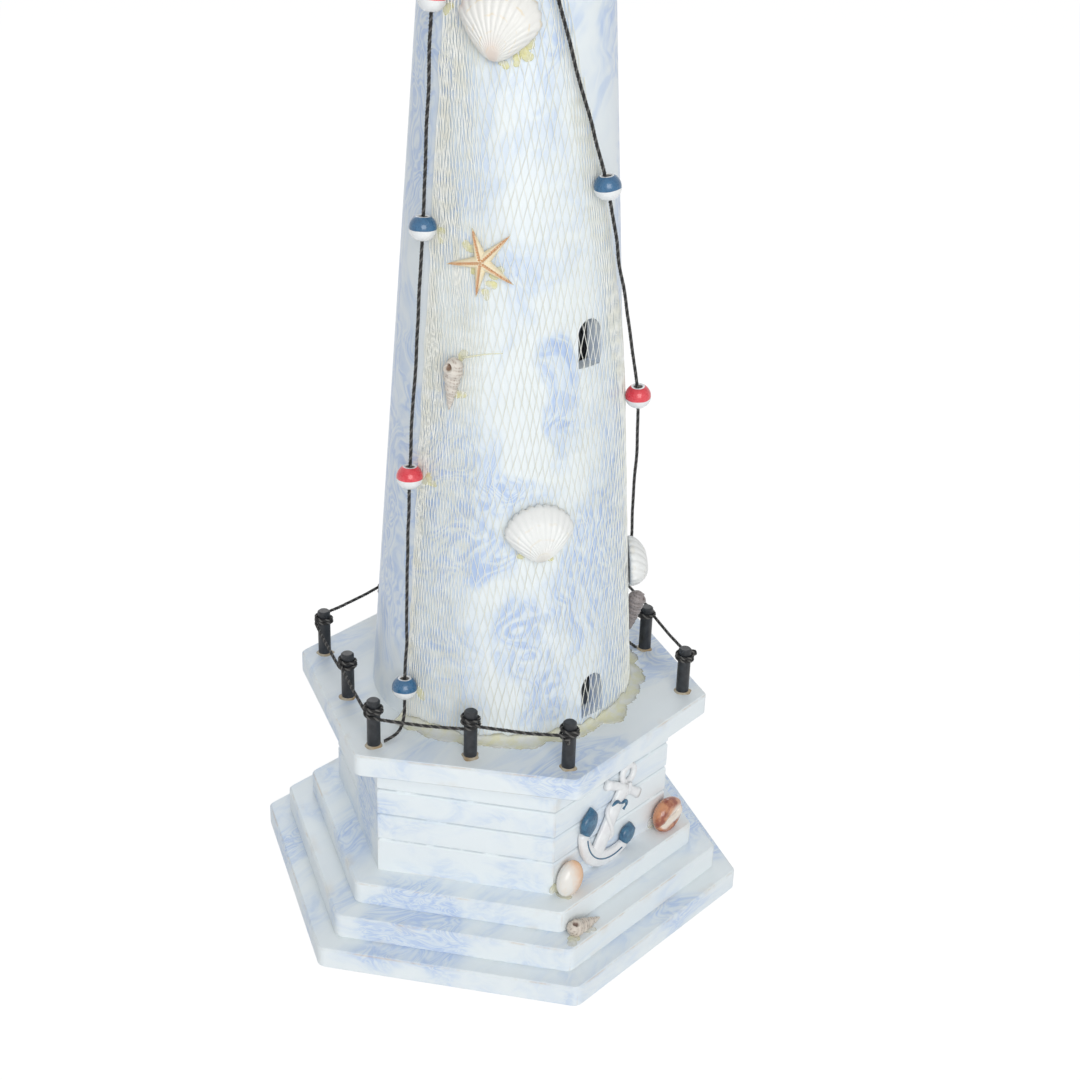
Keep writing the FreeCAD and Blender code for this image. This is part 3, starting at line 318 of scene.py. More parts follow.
def marbling(finish, at, size, amount, extra, long):
    """White paint with blue combed through it in wavering streaks; extra is more blue."""
    drift = finish.warped(finish.warped(at, size * 1.4, size * 0.8), size * 0.5, size * 0.22)
    drawn = finish.stretched(drift, 1, 1, long)
    streak = finish.noise(drawn, size * 0.115, 2.5, 0.5)
    cloud = finish.noise(finish.stretched(drift, 1, 1, 1.8), size * 0.8, 2.0, 0.5)
    cloud = finish.math("ADD", cloud, finish.times(extra, 0.34))
    where = finish.step(cloud, 0.42, 0.72)
    soft = finish.times(where, finish.step(streak, 0.36, 0.60))
    sharp = finish.times(finish.step(cloud, 0.50, 0.78), finish.step(streak, 0.50, 0.60))
    haze = finish.mix(finish.times(where, 0.46), CLEAN_WHITE, PALE_BLUE)
    base = finish.mix(finish.times(soft, amount), haze, PALE_BLUE)
    paint = finish.mix(finish.times(sharp, 0.46 * amount), base, SOFT_BLUE)
    flow = finish.noise(finish.stretched(drift, 1, 1, 0.5 * long), size * 0.55, 1.0, 0.4)
    ripple = finish.math("SINE", finish.times(flow, RIPPLES))
    combed = finish.step(cloud, 0.54, 0.74)
    lines = finish.times(finish.step(ripple, 0.45, 0.95), combed)
    gaps = finish.times(finish.step(ripple, -0.35, -0.95), combed)
    paint = finish.mix(finish.times(lines, 0.42 * amount), paint, SOFT_BLUE)
    return finish.mix(finish.times(gaps, 0.55 * amount), paint, CLEAN_WHITE)


def brushed(finish, paint, streaks):
    """Faint lighter and darker brush marks over a paint."""
    mark = finish.noise(streaks, 2.2, 2.0, 0.6)
    return finish.mix(finish.times(finish.step(mark, 0.45, 0.75), 0.16), paint, (0.9, 0.93, 0.94, 1))


# Blue clouds of the tower that show most: angle, height above the deck, half width, half height.
TOWER_CLOUDS = [
    (-76, 92, 15, 26),
    (-48, 96, 26, 9),
    (-23, 135, 9, 40),
    (-58, 74, 17, 15),
    (-40, 40, 13, 24),
    (-28, 18, 16, 14),
    (20, 60, 34, 80),
    (-8, 60, 20, 50),
    (-128, 90, 40, 130),
    (-112, 270, 20, 130),
    (60, 260, 34, 110),
    (150, 160, 34, 90),
]
# Blue smears of the base that show most: centre and half sizes.
BASE_CLOUDS = [
    ((-35, -66, 86), (24, 14, 10)),
    ((-78, -25, 20), (30, 26, 24)),
    ((60, -55, 12), (36, 30, 16)),
    ((55, -25, 88), (28, 26, 9)),
    ((-62, 20, 60), (22, 30, 40)),
]


def marbled_tower():
    finish = Finish("marbled_tower", Roughness=0.34)
    spots = [(tower_point(angle, height), (wide, wide, tall)) for angle, height, wide, tall in TOWER_CLOUDS]
    extra = finish.clouds(finish.warped(finish.place, 24, 13), spots)
    paint = marbling(finish, finish.place, 34.0, 1.0, extra, 8.0)
    finish.colour(brushed(finish, paint, finish.stretched(finish.place, 1, 1, 7)))
    finish.bump(finish.noise(finish.stretched(finish.place, 1, 1, 5), 1.6, 3.0), 0.10, 0.5)
    return finish.material


def washed_board(name, low, high, radius, turn, seed, groove_shade_lines=(), wear=0.6):
    """Brushed white and pale blue wash over a hexagonal board, worn through at its edges; painted shade
    along any plank grooves.
    """
    finish = Finish(name, Roughness=0.5)
    shifted = finish.vector("ADD", finish.place, (seed * 0.31, seed * 0.17, seed * 0.05))
    drawn = finish.stretched(shifted, 2.6, 1.0, 0.7)
    extra = finish.clouds(finish.warped(finish.place, 18, 9), BASE_CLOUDS)
    paint = marbling(finish, drawn, 30.0, 0.8, extra, 0.7)
    paint = brushed(finish, paint, finish.stretched(shifted, 6, 1.4, 1))
    edge = finish.hexagon_edge(low, high, radius, turn)
    near = finish.step(edge, 0.85 * MM, 0.1 * MM)
    patchy = finish.step(finish.noise(shifted, 20.0, 5.0, 0.7), 0.46, 0.62)
    paint = finish.mix(finish.times(finish.times(near, patchy), wear), paint, OLD_WOOD)
    stain = finish.step(finish.noise(shifted, 17, 3), 0.58, 0.72)
    halo = finish.times(finish.step(edge, 4.5 * MM, 0.6 * MM), stain)
    paint = finish.mix(finish.times(halo, 0.24), paint, (0.72, 0.58, 0.40, 1))
    height = finish.vector("DOT_PRODUCT", finish.place, (0, 0, 1), 1)
    # Painted shade: a thin darker grey line along each groove between the drum's planks, broken up by noise.
    for line in groove_shade_lines:
        off = finish.math("ABSOLUTE", finish.math("SUBTRACT", height, line * MM))
        thin = finish.step(off, 0.55 * MM, 0.12 * MM)
        broken = finish.step(finish.noise(shifted, 7, 3), 0.30, 0.48)
        paint = finish.mix(finish.times(finish.times(thin, broken), 0.42), paint, (0.34, 0.40, 0.44, 1))
    finish.colour(paint)
    grain = finish.noise(finish.stretched(shifted, 9, 1, 1), 1.3, 4.0, 0.6)
    finish.roughness(finish.math("ADD", 0.40, finish.times(grain, 0.2)))
    finish.bump(grain, 0.14, 0.55)
    return finish.material


def simple(name, colour, other, size, rough, depth=0.05, **constants):
    """Two close colours blotched together, with a fine bump."""
    finish = Finish(name, **constants)
    blotch = finish.step(finish.noise(finish.place, size, 4.0, 0.6), 0.35, 0.68)
    finish.colour(finish.mix(blotch, colour, other))
    fine = finish.noise(finish.place, size * 0.3, 3.0)
    finish.roughness(finish.math("ADD", rough - 0.08, finish.times(fine, 0.16)))
    finish.bump(fine, depth, 0.6)
    return finish.material


# ---------------- mesh building


def build(name, points, faces, materials, body="lighthouse", smooth=True, marks=None):
    """A mesh piece in the row frame; marks are named numbers on its points for the materials."""
    mesh = bpy.data.meshes.new(name)
    mesh.from_pydata([tuple(p * MM) for p in points], [], faces)
    for label, numbers in (marks or {}).items():
        layer = mesh.attributes.new(label, "FLOAT", "POINT")
        layer.data.foreach_set("value", numbers)
    for material in materials if isinstance(materials, list) else [materials]:
        mesh.materials.append(material)
    mesh.validate()
    if smooth:
        mesh.polygons.foreach_set("use_smooth", [True] * len(mesh.polygons))
    thing = bpy.data.objects.new(name, mesh)
    bpy.context.scene.collection.objects.link(thing)
    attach(thing, body)
    return thing


def tidy_mesh(thing):
    """Merges doubled points and turns all faces outwards."""
    work = bmesh.new()
    work.from_mesh(thing.data)
    bmesh.ops.remove_doubles(work, verts=work.verts, dist=1e-6)
    bmesh.ops.dissolve_degenerate(work, edges=work.edges, dist=1e-7)
    bmesh.ops.recalc_face_normals(work, faces=work.faces)
    work.to_mesh(thing.data)
    work.free()


def skin(rows, around=True, start=0):
    """Quads between rows of equally many points, joined round if around."""
    width = len(rows[0])
    faces = []
    for i in range(len(rows) - 1):
        for k in range(width if around else width - 1):
            a, b = start + i * width + k, start + i * width + (k + 1) % width
            faces.append((a, b, b + width, a + width))
    return faces


def surface(name, rows, materials, around=True, marks=None):
    """A closed or open skin over rows; rows of one repeated point make its tips."""
    points = [p for row in rows for p in row]
    thing = build(name, points, skin(rows, around), materials, marks=marks)
    tidy_mesh(thing)
    return thing


def ring(count):
    """Angles once round, each with its direction."""
    for k in range(count):
        angle = 2 * pi * k / count
        yield angle, Vector((cos(angle), sin(angle), 0))


def frames_along(path):
    """The direction and two normals at each point of a path, carried along without twist."""
    found, side = [], None
    for i in range(len(path)):
        ahead = (path[min(i + 1, len(path) - 1)] - path[max(i - 1, 0)]).normalized()
        side = ahead.orthogonal() if side is None else side
        side = (side - ahead * side.dot(ahead)).normalized()
        found.append((ahead, side, ahead.cross(side)))
    return found


def resampled(path, spacing):
    """The path's points again, evenly spaced."""
    lengths = [0.0]
    for a, b in zip(path, path[1:]):
        lengths.append(lengths[-1] + (b - a).length)
    count = max(2, round(lengths[-1] / spacing))
    spots, k = [], 0
    for i in range(count + 1):
        target = lengths[-1] * i / count
        while k < len(path) - 2 and lengths[k + 1] < target:
            k += 1
        share = (target - lengths[k]) / max(lengths[k + 1] - lengths[k], 1e-9)
        spots.append(path[k].lerp(path[k + 1], min(max(share, 0), 1)))
    return spots


def softened(points, times=3):
    """Corners of a given route cut round, as a limp cord rounds them."""
    for _ in range(times):
        cut = [points[0]]
        for a, b in zip(points, points[1:]):
            cut += [a.lerp(b, 0.25), a.lerp(b, 0.75)]
        points = cut + [points[-1]]
    return points


def tube_rows(path, radius, sides):
    """Rings round a path; radius is a number or a function of the share of its length."""
    rows = []
    for i, (here, (_, side, over)) in enumerate(zip(path, frames_along(path))):
        wide = radius(i / (len(path) - 1)) if callable(radius) else radius
        turn = [2 * pi * k / sides for k in range(sides)]
        rows.append([here + (side * cos(a) + over * sin(a)) * wide for a in turn])
    return rows


def capped(rows):
    """Rings closed with a point at each end."""
    ends = []
    for row in (rows[0], rows[-1]):
        ends.append(sum(row, Vector((0, 0, 0))) / len(row))
    width = len(rows[0])
    return [[ends[0]] * width] + rows + [[ends[1]] * width]


def strut(points, faces, a, b, radius):
    """A square thread from a to b."""
    ahead = (b - a).normalized()
    side = ahead.orthogonal().normalized()
    over = ahead.cross(side)
    start = len(points)
    for end in (a, b):
        for k in range(4):
            angle = pi / 4 + pi / 2 * k
            points.append(end + (side * cos(angle) + over * sin(angle)) * radius)
    for k in range(4):
        n = (k + 1) % 4
        faces.append((start + k, start + n, start + 4 + n, start + 4 + k))
    faces.append((start + 3, start + 2, start + 1, start))
    faces.append((start + 4, start + 5, start + 6, start + 7))


STRANDS = 3
STRAND_SIDES = 6
# A rope's rings are this far apart, and its strands go round once in this length, in diameters.
ROPE_STEP = 0.36
ROPE_LAY = 2.6
HAIR_RADIUS = 0.035


def rope(name, path, diameter, node=None):
    """Twisted cord along a path: three strands, each a tube that winds round the others."""
    path = resampled(path, diameter * ROPE_STEP)
    carried = frames_along(path)
    per_step = 2 * pi * ROPE_STEP / ROPE_LAY
    points, faces, twist = [], [], []
    for strand in range(STRANDS):
        line = []
        for i, (here, (_, side, over)) in enumerate(zip(path, carried)):
            angle = per_step * i + 2 * pi * strand / STRANDS
            wander = 1 + 0.10 * noise.noise(here * 0.5 + Vector((strand * 9.0, 0, 0)))
            out = (side * cos(angle) + over * sin(angle)) * (diameter * 0.27 * wander)
            line.append(here + out)
        rows = capped(tube_rows(line, diameter * 0.25, STRAND_SIDES))
        faces += skin(rows, start=len(points))
        points += [p for row in rows for p in row]
        twist += [strand / STRANDS for row in rows for _ in row]
    for i in range(6, len(path) - 6, 5):
        ahead, side, over = carried[i]
        way = ahead * random.uniform(-0.9, 0.9) + side * random.uniform(-1, 1)
        way = (way + over * random.uniform(-1, 1)).normalized()
        root = path[i] + way * (diameter * 0.3)
        strut(points, faces, root, root + way * random.uniform(0.3, 0.9), HAIR_RADIUS)
    twist += [1.0] * (len(points) - len(twist))
    thing = build(name, points, faces, BLACK_CORD, marks={"strand": twist})
    if node:
        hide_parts(node)
    tidy_mesh(thing)
    return thing


def lump(name, centre, size, material, seed, squash=1.0, up=UP):
    """A small smear of glue, uneven in outline, flat side on its seat."""
    turn = up.to_track_quat("Z", "Y").to_matrix()
    around, rows = 48, []
    for i in range(9):
        lift = pi / 2 * i / 8
        row = []
        for angle, way in ring(around):
            uneven = 1 + 0.30 * sin(2 * angle + 1.9 * seed) + 0.11 * sin(3 * angle + seed)
            uneven += 0.05 * sin(5 * angle + 2.3 * seed) + 0.02 * sin(9 * angle + seed)
            spot = way * (size * uneven * cos(lift))
            spot.z = size * 0.26 * squash * sin(lift) * (1 + 0.5 * noise.noise(spot * 0.9))
            row.append(centre + turn @ spot)
        rows.append(row)
    thing = surface(name, [[centre] * around] + rows, material)


# ---------------- places on the object

DECK_TOP = top_mm("deck_board")
TOWER_HEIGHT = top_mm("tower") - DECK_TOP
TOWER_FOOT = 50.7
TOWER_TOP = 25.4
TOWER_TAPER = (TOWER_FOOT - TOWER_TOP) / TOWER_HEIGHT
WALL_LEAN = atan(TOWER_TAPER)
NET_OUTSIDE = 0.8
ON_NET = NET_OUTSIDE + 0.1
DRUM_RADIUS = 68.4
FRONT = -DRUM_RADIUS * SIDE
UPPER_LEDGE = top_mm("base_board_upper")
MIDDLE_LEDGE = top_mm("base_board_middle")


def tower_point(angle, height, standoff=0.0):
    radius = TOWER_FOOT - TOWER_TAPER * height + standoff
    around = radians(angle)
    return Vector((radius * sin(around), -radius * cos(around), DECK_TOP + height))


def wall_frame(angle, height, standoff=0.0, spin=0.0):
    """A frame whose Z leaves the tower's wall and whose Y runs up it."""
    stand = Matrix.Rotation(radians(angle), 4, "Z")
    lean = Matrix.Rotation(pi / 2 - WALL_LEAN, 4, "X")
    turned = Matrix.Rotation(radians(spin), 4, "Z")
    return Matrix.Translation(tower_point(angle, height, standoff)) @ stand @ lean @ turned


def front_frame(x, height, standoff=0.0, spin=0.0):
    """The same on the drum's entrance side."""
    stand = Matrix.Translation((x, FRONT - standoff, height))
    turned = Matrix.Rotation(radians(spin), 4, "Z")
    return stand @ Matrix.Rotation(pi / 2, 4, "X") @ turned


# ---------------- plain materials

BLACK_PAINT = simple(
    "black_paint", (0.010, 0.012, 0.015, 1), (0.026, 0.029, 0.034, 1), 3.0, 0.42, 0.06
)


def cord_material():
    """Black cord with one strand a lighter grey, so that its lay shows."""
    finish = Finish("black_cord", Roughness=0.75)
    grey_strand = finish.step(finish.attribute("strand"), 0.2, 0.05)
    fibre = finish.noise(finish.place, 0.6, 3.0, 0.6)
    black = finish.mix(fibre, (0.008, 0.008, 0.009, 1), (0.030, 0.029, 0.028, 1))
    finish.colour(finish.mix(grey_strand, black, (0.125, 0.12, 0.112, 1)))
    finish.bump(fibre, 0.08, 0.7)
    return finish.material


BLACK_CORD = cord_material()
NET_STRING = simple(
    "net_string", (0.80, 0.79, 0.70, 1), (0.90, 0.90, 0.85, 1), 6.0, 0.55, 0.02
)
BEAD_WHITE = simple(
    "bead_white", (0.86, 0.87, 0.87, 1), (0.90, 0.90, 0.89, 1), 4.0, 0.26, 0.03, Coat_Weight=0.4
)
BEAD_RED = simple(
    "bead_red", (0.74, 0.035, 0.055, 1), (0.84, 0.075, 0.10, 1), 3.0, 0.28, 0.05, Coat_Weight=0.5
)
BEAD_BLUE = simple(
    "bead_blue", (0.024, 0.115, 0.24, 1), (0.036, 0.15, 0.30, 1), 3.0, 0.28, 0.05, Coat_Weight=0.5
)
# Painted shade: the inside of each bead's bore is a dark grey-brown.
BORE_SHADE = simple("bead_bore", (0.32, 0.30, 0.28, 1), (0.20, 0.18, 0.16, 1), 1.5, 0.7, 0.05)


def glue_material(name, colour, other, cover):
    """Dried hot glue: cloudy, partly see-through."""
    finish = Finish(name, Alpha=cover, Coat_Weight=0.2)
    blotch = finish.step(finish.noise(finish.place, 4.5, 4.0, 0.6), 0.36, 0.66)
    finish.colour(finish.mix(blotch, colour, other))
    fine = finish.noise(finish.place, 1.4, 3.0)
    finish.roughness(finish.math("ADD", 0.22, finish.times(fine, 0.25)))
    finish.bump(fine, 0.2, 0.5)
    return finish.material


GLUE = glue_material("dried_glue", (1.0, 0.96, 0.66, 1), (1.0, 1.0, 0.96, 1), 0.42)
YELLOW_GLUE = glue_material("yellow_glue", (1.0, 0.94, 0.46, 1), (0.97, 0.96, 0.78, 1), 0.5)
BROWN_GLUE = glue_material("brown_glue", (0.60, 0.42, 0.22, 1), (0.80, 0.72, 0.56, 1), 0.6)

# ---------------- boards, drum, tower and top


def paint_node(node, material):
    """Paints a CAD node, smooth only where faces nearly line up; moves no point."""
    mesh = frame["nodes"][node].data
    mesh.materials.clear()
    mesh.materials.append(material)
    mesh.polygons.foreach_set("use_smooth", [True] * len(mesh.polygons))
    mesh.set_sharp_from_angle(angle=radians(28))


# Each hexagonal board's radius to its corners and its turn in degrees.
BOARDS = {
    "base_board_lower": (100.0, 0.0),
    "base_board_middle": (90.9, 0.0),
    "base_board_upper": (80.5, 0.0),
    "deck_board": (82.3, 2.1),
    "gallery_board": (44.0, 2.1),
    "roof_board": (36.0, 2.1),
    "lantern_frame": (26.0, 2.1),
}
# Heights of the grooves between the drum's planks, where the painted shade lines go.
GROOVE_SHADE_LINES = [UPPER_LEDGE + 14.1 + 11.25 * i for i in range(3)]


def paint_boards():
    for seed, (node, (radius, turn)) in enumerate(BOARDS.items()):
        paint_node(node, washed_board(node, base_mm(node), top_mm(node), radius, turn, seed))
    drum = washed_board(
        "planked_drum", base_mm("plinth"), top_mm("plinth"), DRUM_RADIUS, 0.0, 9, GROOVE_SHADE_LINES, 0.15
    )
    paint_node("plinth", drum)
    paint_node("tower", marbled_tower())


def roof_paint():
    """Blue paint brushed thin over white, down the slopes of the roof."""
    finish = Finish("roof_paint", Roughness=0.42)
    streaks = finish.noise(finish.stretched(finish.place, 1, 1, 6), 3.0, 4.0, 0.6)
    thin = finish.step(streaks, 0.56, 0.72)
    blue = finish.mix(finish.noise(finish.place, 9), (0.05, 0.17, 0.36, 1), (0.09, 0.26, 0.46, 1))
    finish.colour(finish.mix(finish.times(thin, 0.5), blue, PALE_BLUE))
    finish.bump(streaks, 0.15, 0.6)
    return finish.material


def paint_top():
    paint_node("roof_cap", roof_paint())
    paint_node("finial", BEAD_RED)
    glass = Finish("lantern_glazing", Roughness=0.06, IOR=1.49, Transmission_Weight=0.95)
    tint = glass.step(glass.noise(glass.place, 20, 2), 0.3, 0.7)
    glass.colour(glass.mix(tint, (0.95, 0.98, 0.98, 1), (0.90, 0.95, 0.96, 1)))
    paint_node("lantern_glazing", glass.material)
    ivory = simple("ivory_plastic", (0.80, 0.79, 0.74, 1), (0.84, 0.83, 0.79, 1), 12.0, 0.32, 0.02)
    milky = simple(
        "milky_plastic", (0.86, 0.84, 0.76, 1), (0.90, 0.88, 0.82, 1), 10.0, 0.4, 0.02, Subsurface_Weight=0.2
    )
    black = simple(
        "switch_plastic", (0.02, 0.02, 0.02, 1), (0.035, 0.035, 0.035, 1), 2.0, 0.45, 0.04
    )
    steel = simple(
        "cell_steel", (0.55, 0.55, 0.55, 1), (0.65, 0.65, 0.65, 1), 5.0, 0.3, 0.02, Metallic=1.0
    )
    resin = simple("lamp_resin", (0.85, 0.74, 0.42, 1), (0.90, 0.82, 0.55, 1), 3.0, 0.15, 0.01)
    for part, material in (
        ("base", ivory), ("cover", ivory), ("dome", milky), ("switch", black), ("cell", steel),
        ("lamp", resin),
    ):
        paint_node(f"light_{part}", material)


paint_boards()
paint_top()

# ---------------- posts and railings

DECK_POSTS = [f"deck_post_{i:02d}" for i in range(1, 12)]
GALLERY_POSTS = [f"gallery_post_{i:02d}" for i in range(1, 7)]
CORD = 1.3
# Cord drawn tight, in the second turn round a post and in a knot.
TIGHT_CORD = 1.2
KNOT_CORD = 1.25
POST_RADIUS = 2.5
POST_WINDING = POST_RADIUS + 0.05 + CORD / 2
WINDING_PITCH = CORD + 0.45
RAILING_HEIGHT = 14.2
CORD_SLOPE = 0.07
# The glue collar at a post's foot: how far out from the post's axis and how high.
COLLAR_BORE = 2.45
COLLAR = [(COLLAR_BORE, 0.7), (2.62, 0.55), (2.85, 0.22), (3.2, 0.08), (3.35, 0.02), (2.4, 0.02)]


def post_foot(name, node, seed):
    """The collar of brown glue that holds a post in its board."""
    centre = middle_mm(node)
    centre.z = base_mm(node)
    rows = []
    for reach, lift in COLLAR:
        row = []
        for _, way in ring(28):
            rough = noise.noise(way * 1.1 + Vector((seed * 5.3, 0, 0)))
            uneven = 1 + 0.35 * (reach - COLLAR_BORE) * rough
            row.append(centre + way * max(reach * uneven, COLLAR_BORE) + UP * lift)
        rows.append(row)
    thing = surface(name, rows, BROWN_GLUE)


def railing_route(nodes, closed):
    """The way a cord goes from post to post on their outer side, once more round each."""
    centres = []
    for node in nodes:
        centre = middle_mm(node)
        centre.z = base_mm(node)
        centres.append(centre)
    route = centres + centres[:1] if closed else centres
    ways = [(b - a).normalized() for a, b in zip(route, route[1:])]
    sides = [degrees(atan2(way.x, -way.y)) for way in ways]
    winds, upward, height = [], 1, RAILING_HEIGHT - WINDING_PITCH / 2
    for i, centre in enumerate(route):
        enter = sides[i - 1] if i else sides[0] + 360
        turn = 360.0
        if 0 < i < len(ways):
            turn += (sides[i - 1] - sides[i]) % 360
        if closed and i == len(ways):
            height = RAILING_HEIGHT + 1.5 * WINDING_PITCH
            upward = 1
        climb = upward * WINDING_PITCH * turn / 360
        wind = []
        for k in range(25):
            angle = radians(enter - turn * k / 24)
            out = Vector((cos(angle), sin(angle), 0)) * POST_WINDING
            wind.append(centre + out + UP * (height + climb * k / 24))
        winds.append(wind)
        height += climb
        upward = -upward
    path = list(winds[0])
    for wind in winds[1:]:
        start, end = path[-1], wind[0]
        span = (end - start).length
        for k in range(1, 16):
            share = k / 16
            sag = CORD_SLOPE * span * share * (1 - share)
            wobble = 0.25 * noise.noise(start.lerp(end, share) * 0.12)
            path.append(start.lerp(end, share) - UP * (sag + wobble))
        path += wind
    return path


def knot(name, centre, size, way):
    """An overhand knot: a short cord that turns over itself."""
    across = way.cross(UP).normalized()
    path = []
    for k in range(40):
        t = 2 * pi * k / 39
        spot = across * (sin(t) + 2 * sin(2 * t)) + UP * (cos(t) - 2 * cos(2 * t))
        path.append(centre + (spot * 0.36 + way * (-0.45 * sin(3 * t))) * size)
    rope(name, path, KNOT_CORD)


def extra_turn(node):
    """A second turn of cord round a post, its ends tucked in."""
    centre = middle_mm(node)
    start = base_mm(node) + RAILING_HEIGHT + 1.05
    coil = []
    for k in range(45):
        angle = -2 * pi * 1.35 * k / 44 + 0.7 * len(node)
        tucked = 0.5 * max(0.0, abs(k - 22) - 16) / 6
        out = Vector((cos(angle), sin(angle), 0)) * (POST_WINDING - 0.05 - tucked)
        coil.append(Vector((centre.x, centre.y, start + 1.9 * k / 44)) + out)
    rope(f"extra_turn_{node}", coil, TIGHT_CORD)


for i, node in enumerate(DECK_POSTS + GALLERY_POSTS):
    paint_node(node, BLACK_PAINT)
    post_foot(f"foot_glue_{node}", node, i + 1)

for node in DECK_POSTS + GALLERY_POSTS:
    extra_turn(node)

deck_route = railing_route(DECK_POSTS, False)
rope("deck_rope", deck_route, CORD, "deck_cord")
rope("gallery_rope", railing_route(GALLERY_POSTS, True), CORD, "gallery_cord")
knot("deck_knot_first", deck_route[0], 1.35, (deck_route[0] - deck_route[1]).normalized())
knot("deck_knot_last", deck_route[-1], 1.35, (deck_route[-1] - deck_route[-2]).normalized())

# ---------------- garland and neck winding

CORD_ON_NET = NET_OUTSIDE + 0.7
BEAD_RADIUS = 4.75
BEAD_STANDOFF = NET_OUTSIDE + 0.1 + BEAD_RADIUS
BEAD_BEND = 2 * BEAD_RADIUS * 0.6
NECK_TOP = TOWER_HEIGHT - 9.0
NECK_TURNS = 3
TIE_HEIGHT = NECK_TOP - NECK_TURNS * WINDING_PITCH - 1.3

LEFT_GARLAND = [
    (-91.0, TIE_HEIGHT, CORD_ON_NET),
    (-92.6, 322.0, 3.2),
    (-92.0, 261.3, BEAD_STANDOFF),
    (-90.6, 188.2, BEAD_STANDOFF),
    (-91.2, 99.5, BEAD_STANDOFF),
    (-88.4, 16.7, BEAD_STANDOFF),
    (-87.0, 6.5, 6.4),
    (-85.0, 1.6, 11.0),
    (-86.2, 0.75, 18.2),
]
RIGHT_GARLAND = [
    (-85.0, TIE_HEIGHT, 2.0),
    (-61.0, 322.0, 3.4),
    (-38.0, 283.0, BEAD_STANDOFF),
    (-0.6, 202.8, BEAD_STANDOFF),
    (31.6, 121.6, BEAD_STANDOFF),
    (62.0, 40.0, BEAD_STANDOFF),
    (68.5, 15.0, 4.2),
    (69.0, 5.0, 4.8),
    (66.0, 1.0, 7.2),
    (62.6, 0.75, 8.5),
]
BEAD_SPOTS = (2, 3, 4, 5)
# A bead's outline from bore to bore: how far out and how far up, as shares of its radius.
BEAD_OUTLINE = [
    (0.33, 0.40), (0.35, 0.78), (0.39, 0.855), (0.53, 0.835), (0.63, 0.765), (0.75, 0.655),
    (0.87, 0.49), (0.96, 0.29), (0.995, 0.10), (0.995, -0.06), (0.995, -0.10), (0.96, -0.31),
    (0.87, -0.50), (0.72, -0.68), (0.56, -0.81), (0.42, -0.875), (0.35, -0.87), (0.31, -0.80),
    (0.30, -0.40),
]
RIM_ROWS = (1, 2)
LAST_COLOURED_ROW = 8


def node_seed(node):
    return float(sum(ord(letter) for letter in node) % 97)


def bead(name, node, centre, way, paint):
    """A turned wooden bead: coloured above, white below and round its bore, with painted shade on the bore's
    walls.
    """
    turn = way.to_track_quat("Z", "Y").to_matrix()
    around = 48
    rows = []
    for out, rise in BEAD_OUTLINE:
        row = []
        for _, edge in ring(around):
            spot = (edge * out + UP * rise) * BEAD_RADIUS
            if -0.2 < rise < 0.2 and out > 0.9:
                spot.z += 0.16 * noise.noise((edge + UP * node_seed(node)) * 1.7)
            row.append(centre + turn @ spot)
        rows.append(row)
    points = [p for row in rows for p in row]
    thing = build(name, points, skin(rows), [paint, BEAD_WHITE, BORE_SHADE])
    for face in thing.data.polygons:
        row = min(face.vertices) // around
        # The bore's walls, the first and last rows, take the painted shade.
        if row == 0 or row == len(rows) - 2:
            face.material_index = 2
        elif row in RIM_ROWS or row > LAST_COLOURED_ROW:
            face.material_index = 1
    tidy_mesh(thing)
    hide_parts(node)


def garland(side, route):
    spots = [tower_point(*spot) for spot in route]
    points = []
    for i, spot in enumerate(spots):
        if i not in BEAD_SPOTS:
            points.append(spot)
            continue
        way = (spots[i - 1] - spots[i + 1]).normalized()
        points += [spot + way * BEAD_BEND, spot - way * BEAD_BEND]
        number = BEAD_SPOTS.index(i) + 1
        paint, slot = ((BEAD_RED, "bead_red"), (BEAD_BLUE, "bead_blue"))[(number + 1) % 2]
        upright = (way + UP).normalized()
        bead(f"painted_bead_{side}_{number}", f"bead_{side}_{number}", spot, upright, paint)
    path = resampled(softened(points), 2.0)
    bent = []
    for i, spot in enumerate(path):
        near_bead = min((spot - spots[k]).length for k in BEAD_SPOTS)
        loose = min(1.0, max(0.0, (near_bead - 7) / 12)) * min(1.0, i / 8, (len(path) - 1 - i) / 8)
        sway = Vector((noise.noise(spot * 0.07), noise.noise(spot * 0.07 + Vector((7, 3, 1))), 0))
        bent.append(spot + sway * 0.55 * loose)
    rope(f"garland_rope_{side}", bent, CORD, f"garland_cord_{side}")


def neck_winding():
    path = []
    count = NECK_TURNS * 36
    for i in range(count + 1):
        height = NECK_TOP - WINDING_PITCH * i / 36
        path.append(tower_point(-10.0 * i, height, CORD_ON_NET))
    rope("neck_rope", path, CORD, "neck_cord")


garland("left", LEFT_GARLAND)
garland("right", RIGHT_GARLAND)
neck_winding()

# ---------------- net

MESH_WIDTH = 2.7
MESH_HALF_HEIGHT = 5.6
THREAD = 0.15
NET_LEFT = -94.0
NET_RIGHT_FOOT = 90.0
NET_RIGHT_TOP = -62.0
NET_CENTRE = -30.0
NET_LOW, NET_HIGH = 0.6, 368.0
LEFT_GATHER = 25.0
RIGHT_GATHER = 13.0
CROWDING = 2.1
NET_COLUMNS = range(-40, 60)
LONGEST_STRING = 12.0


def gathered(across, low, high):
    """Crowds the meshes into a band along each edge, and says nothing of those beyond."""
    wide = min(1.0, (high - low) / (2.2 * (LEFT_GATHER + RIGHT_GATHER)))
    start, end = low + LEFT_GATHER * wide, high - RIGHT_GATHER * wide
    if across > end:
        across = end + (across - end) / CROWDING
    elif across < start:
        across = start + (across - start) / CROWDING
    return across if low <= across <= high else None


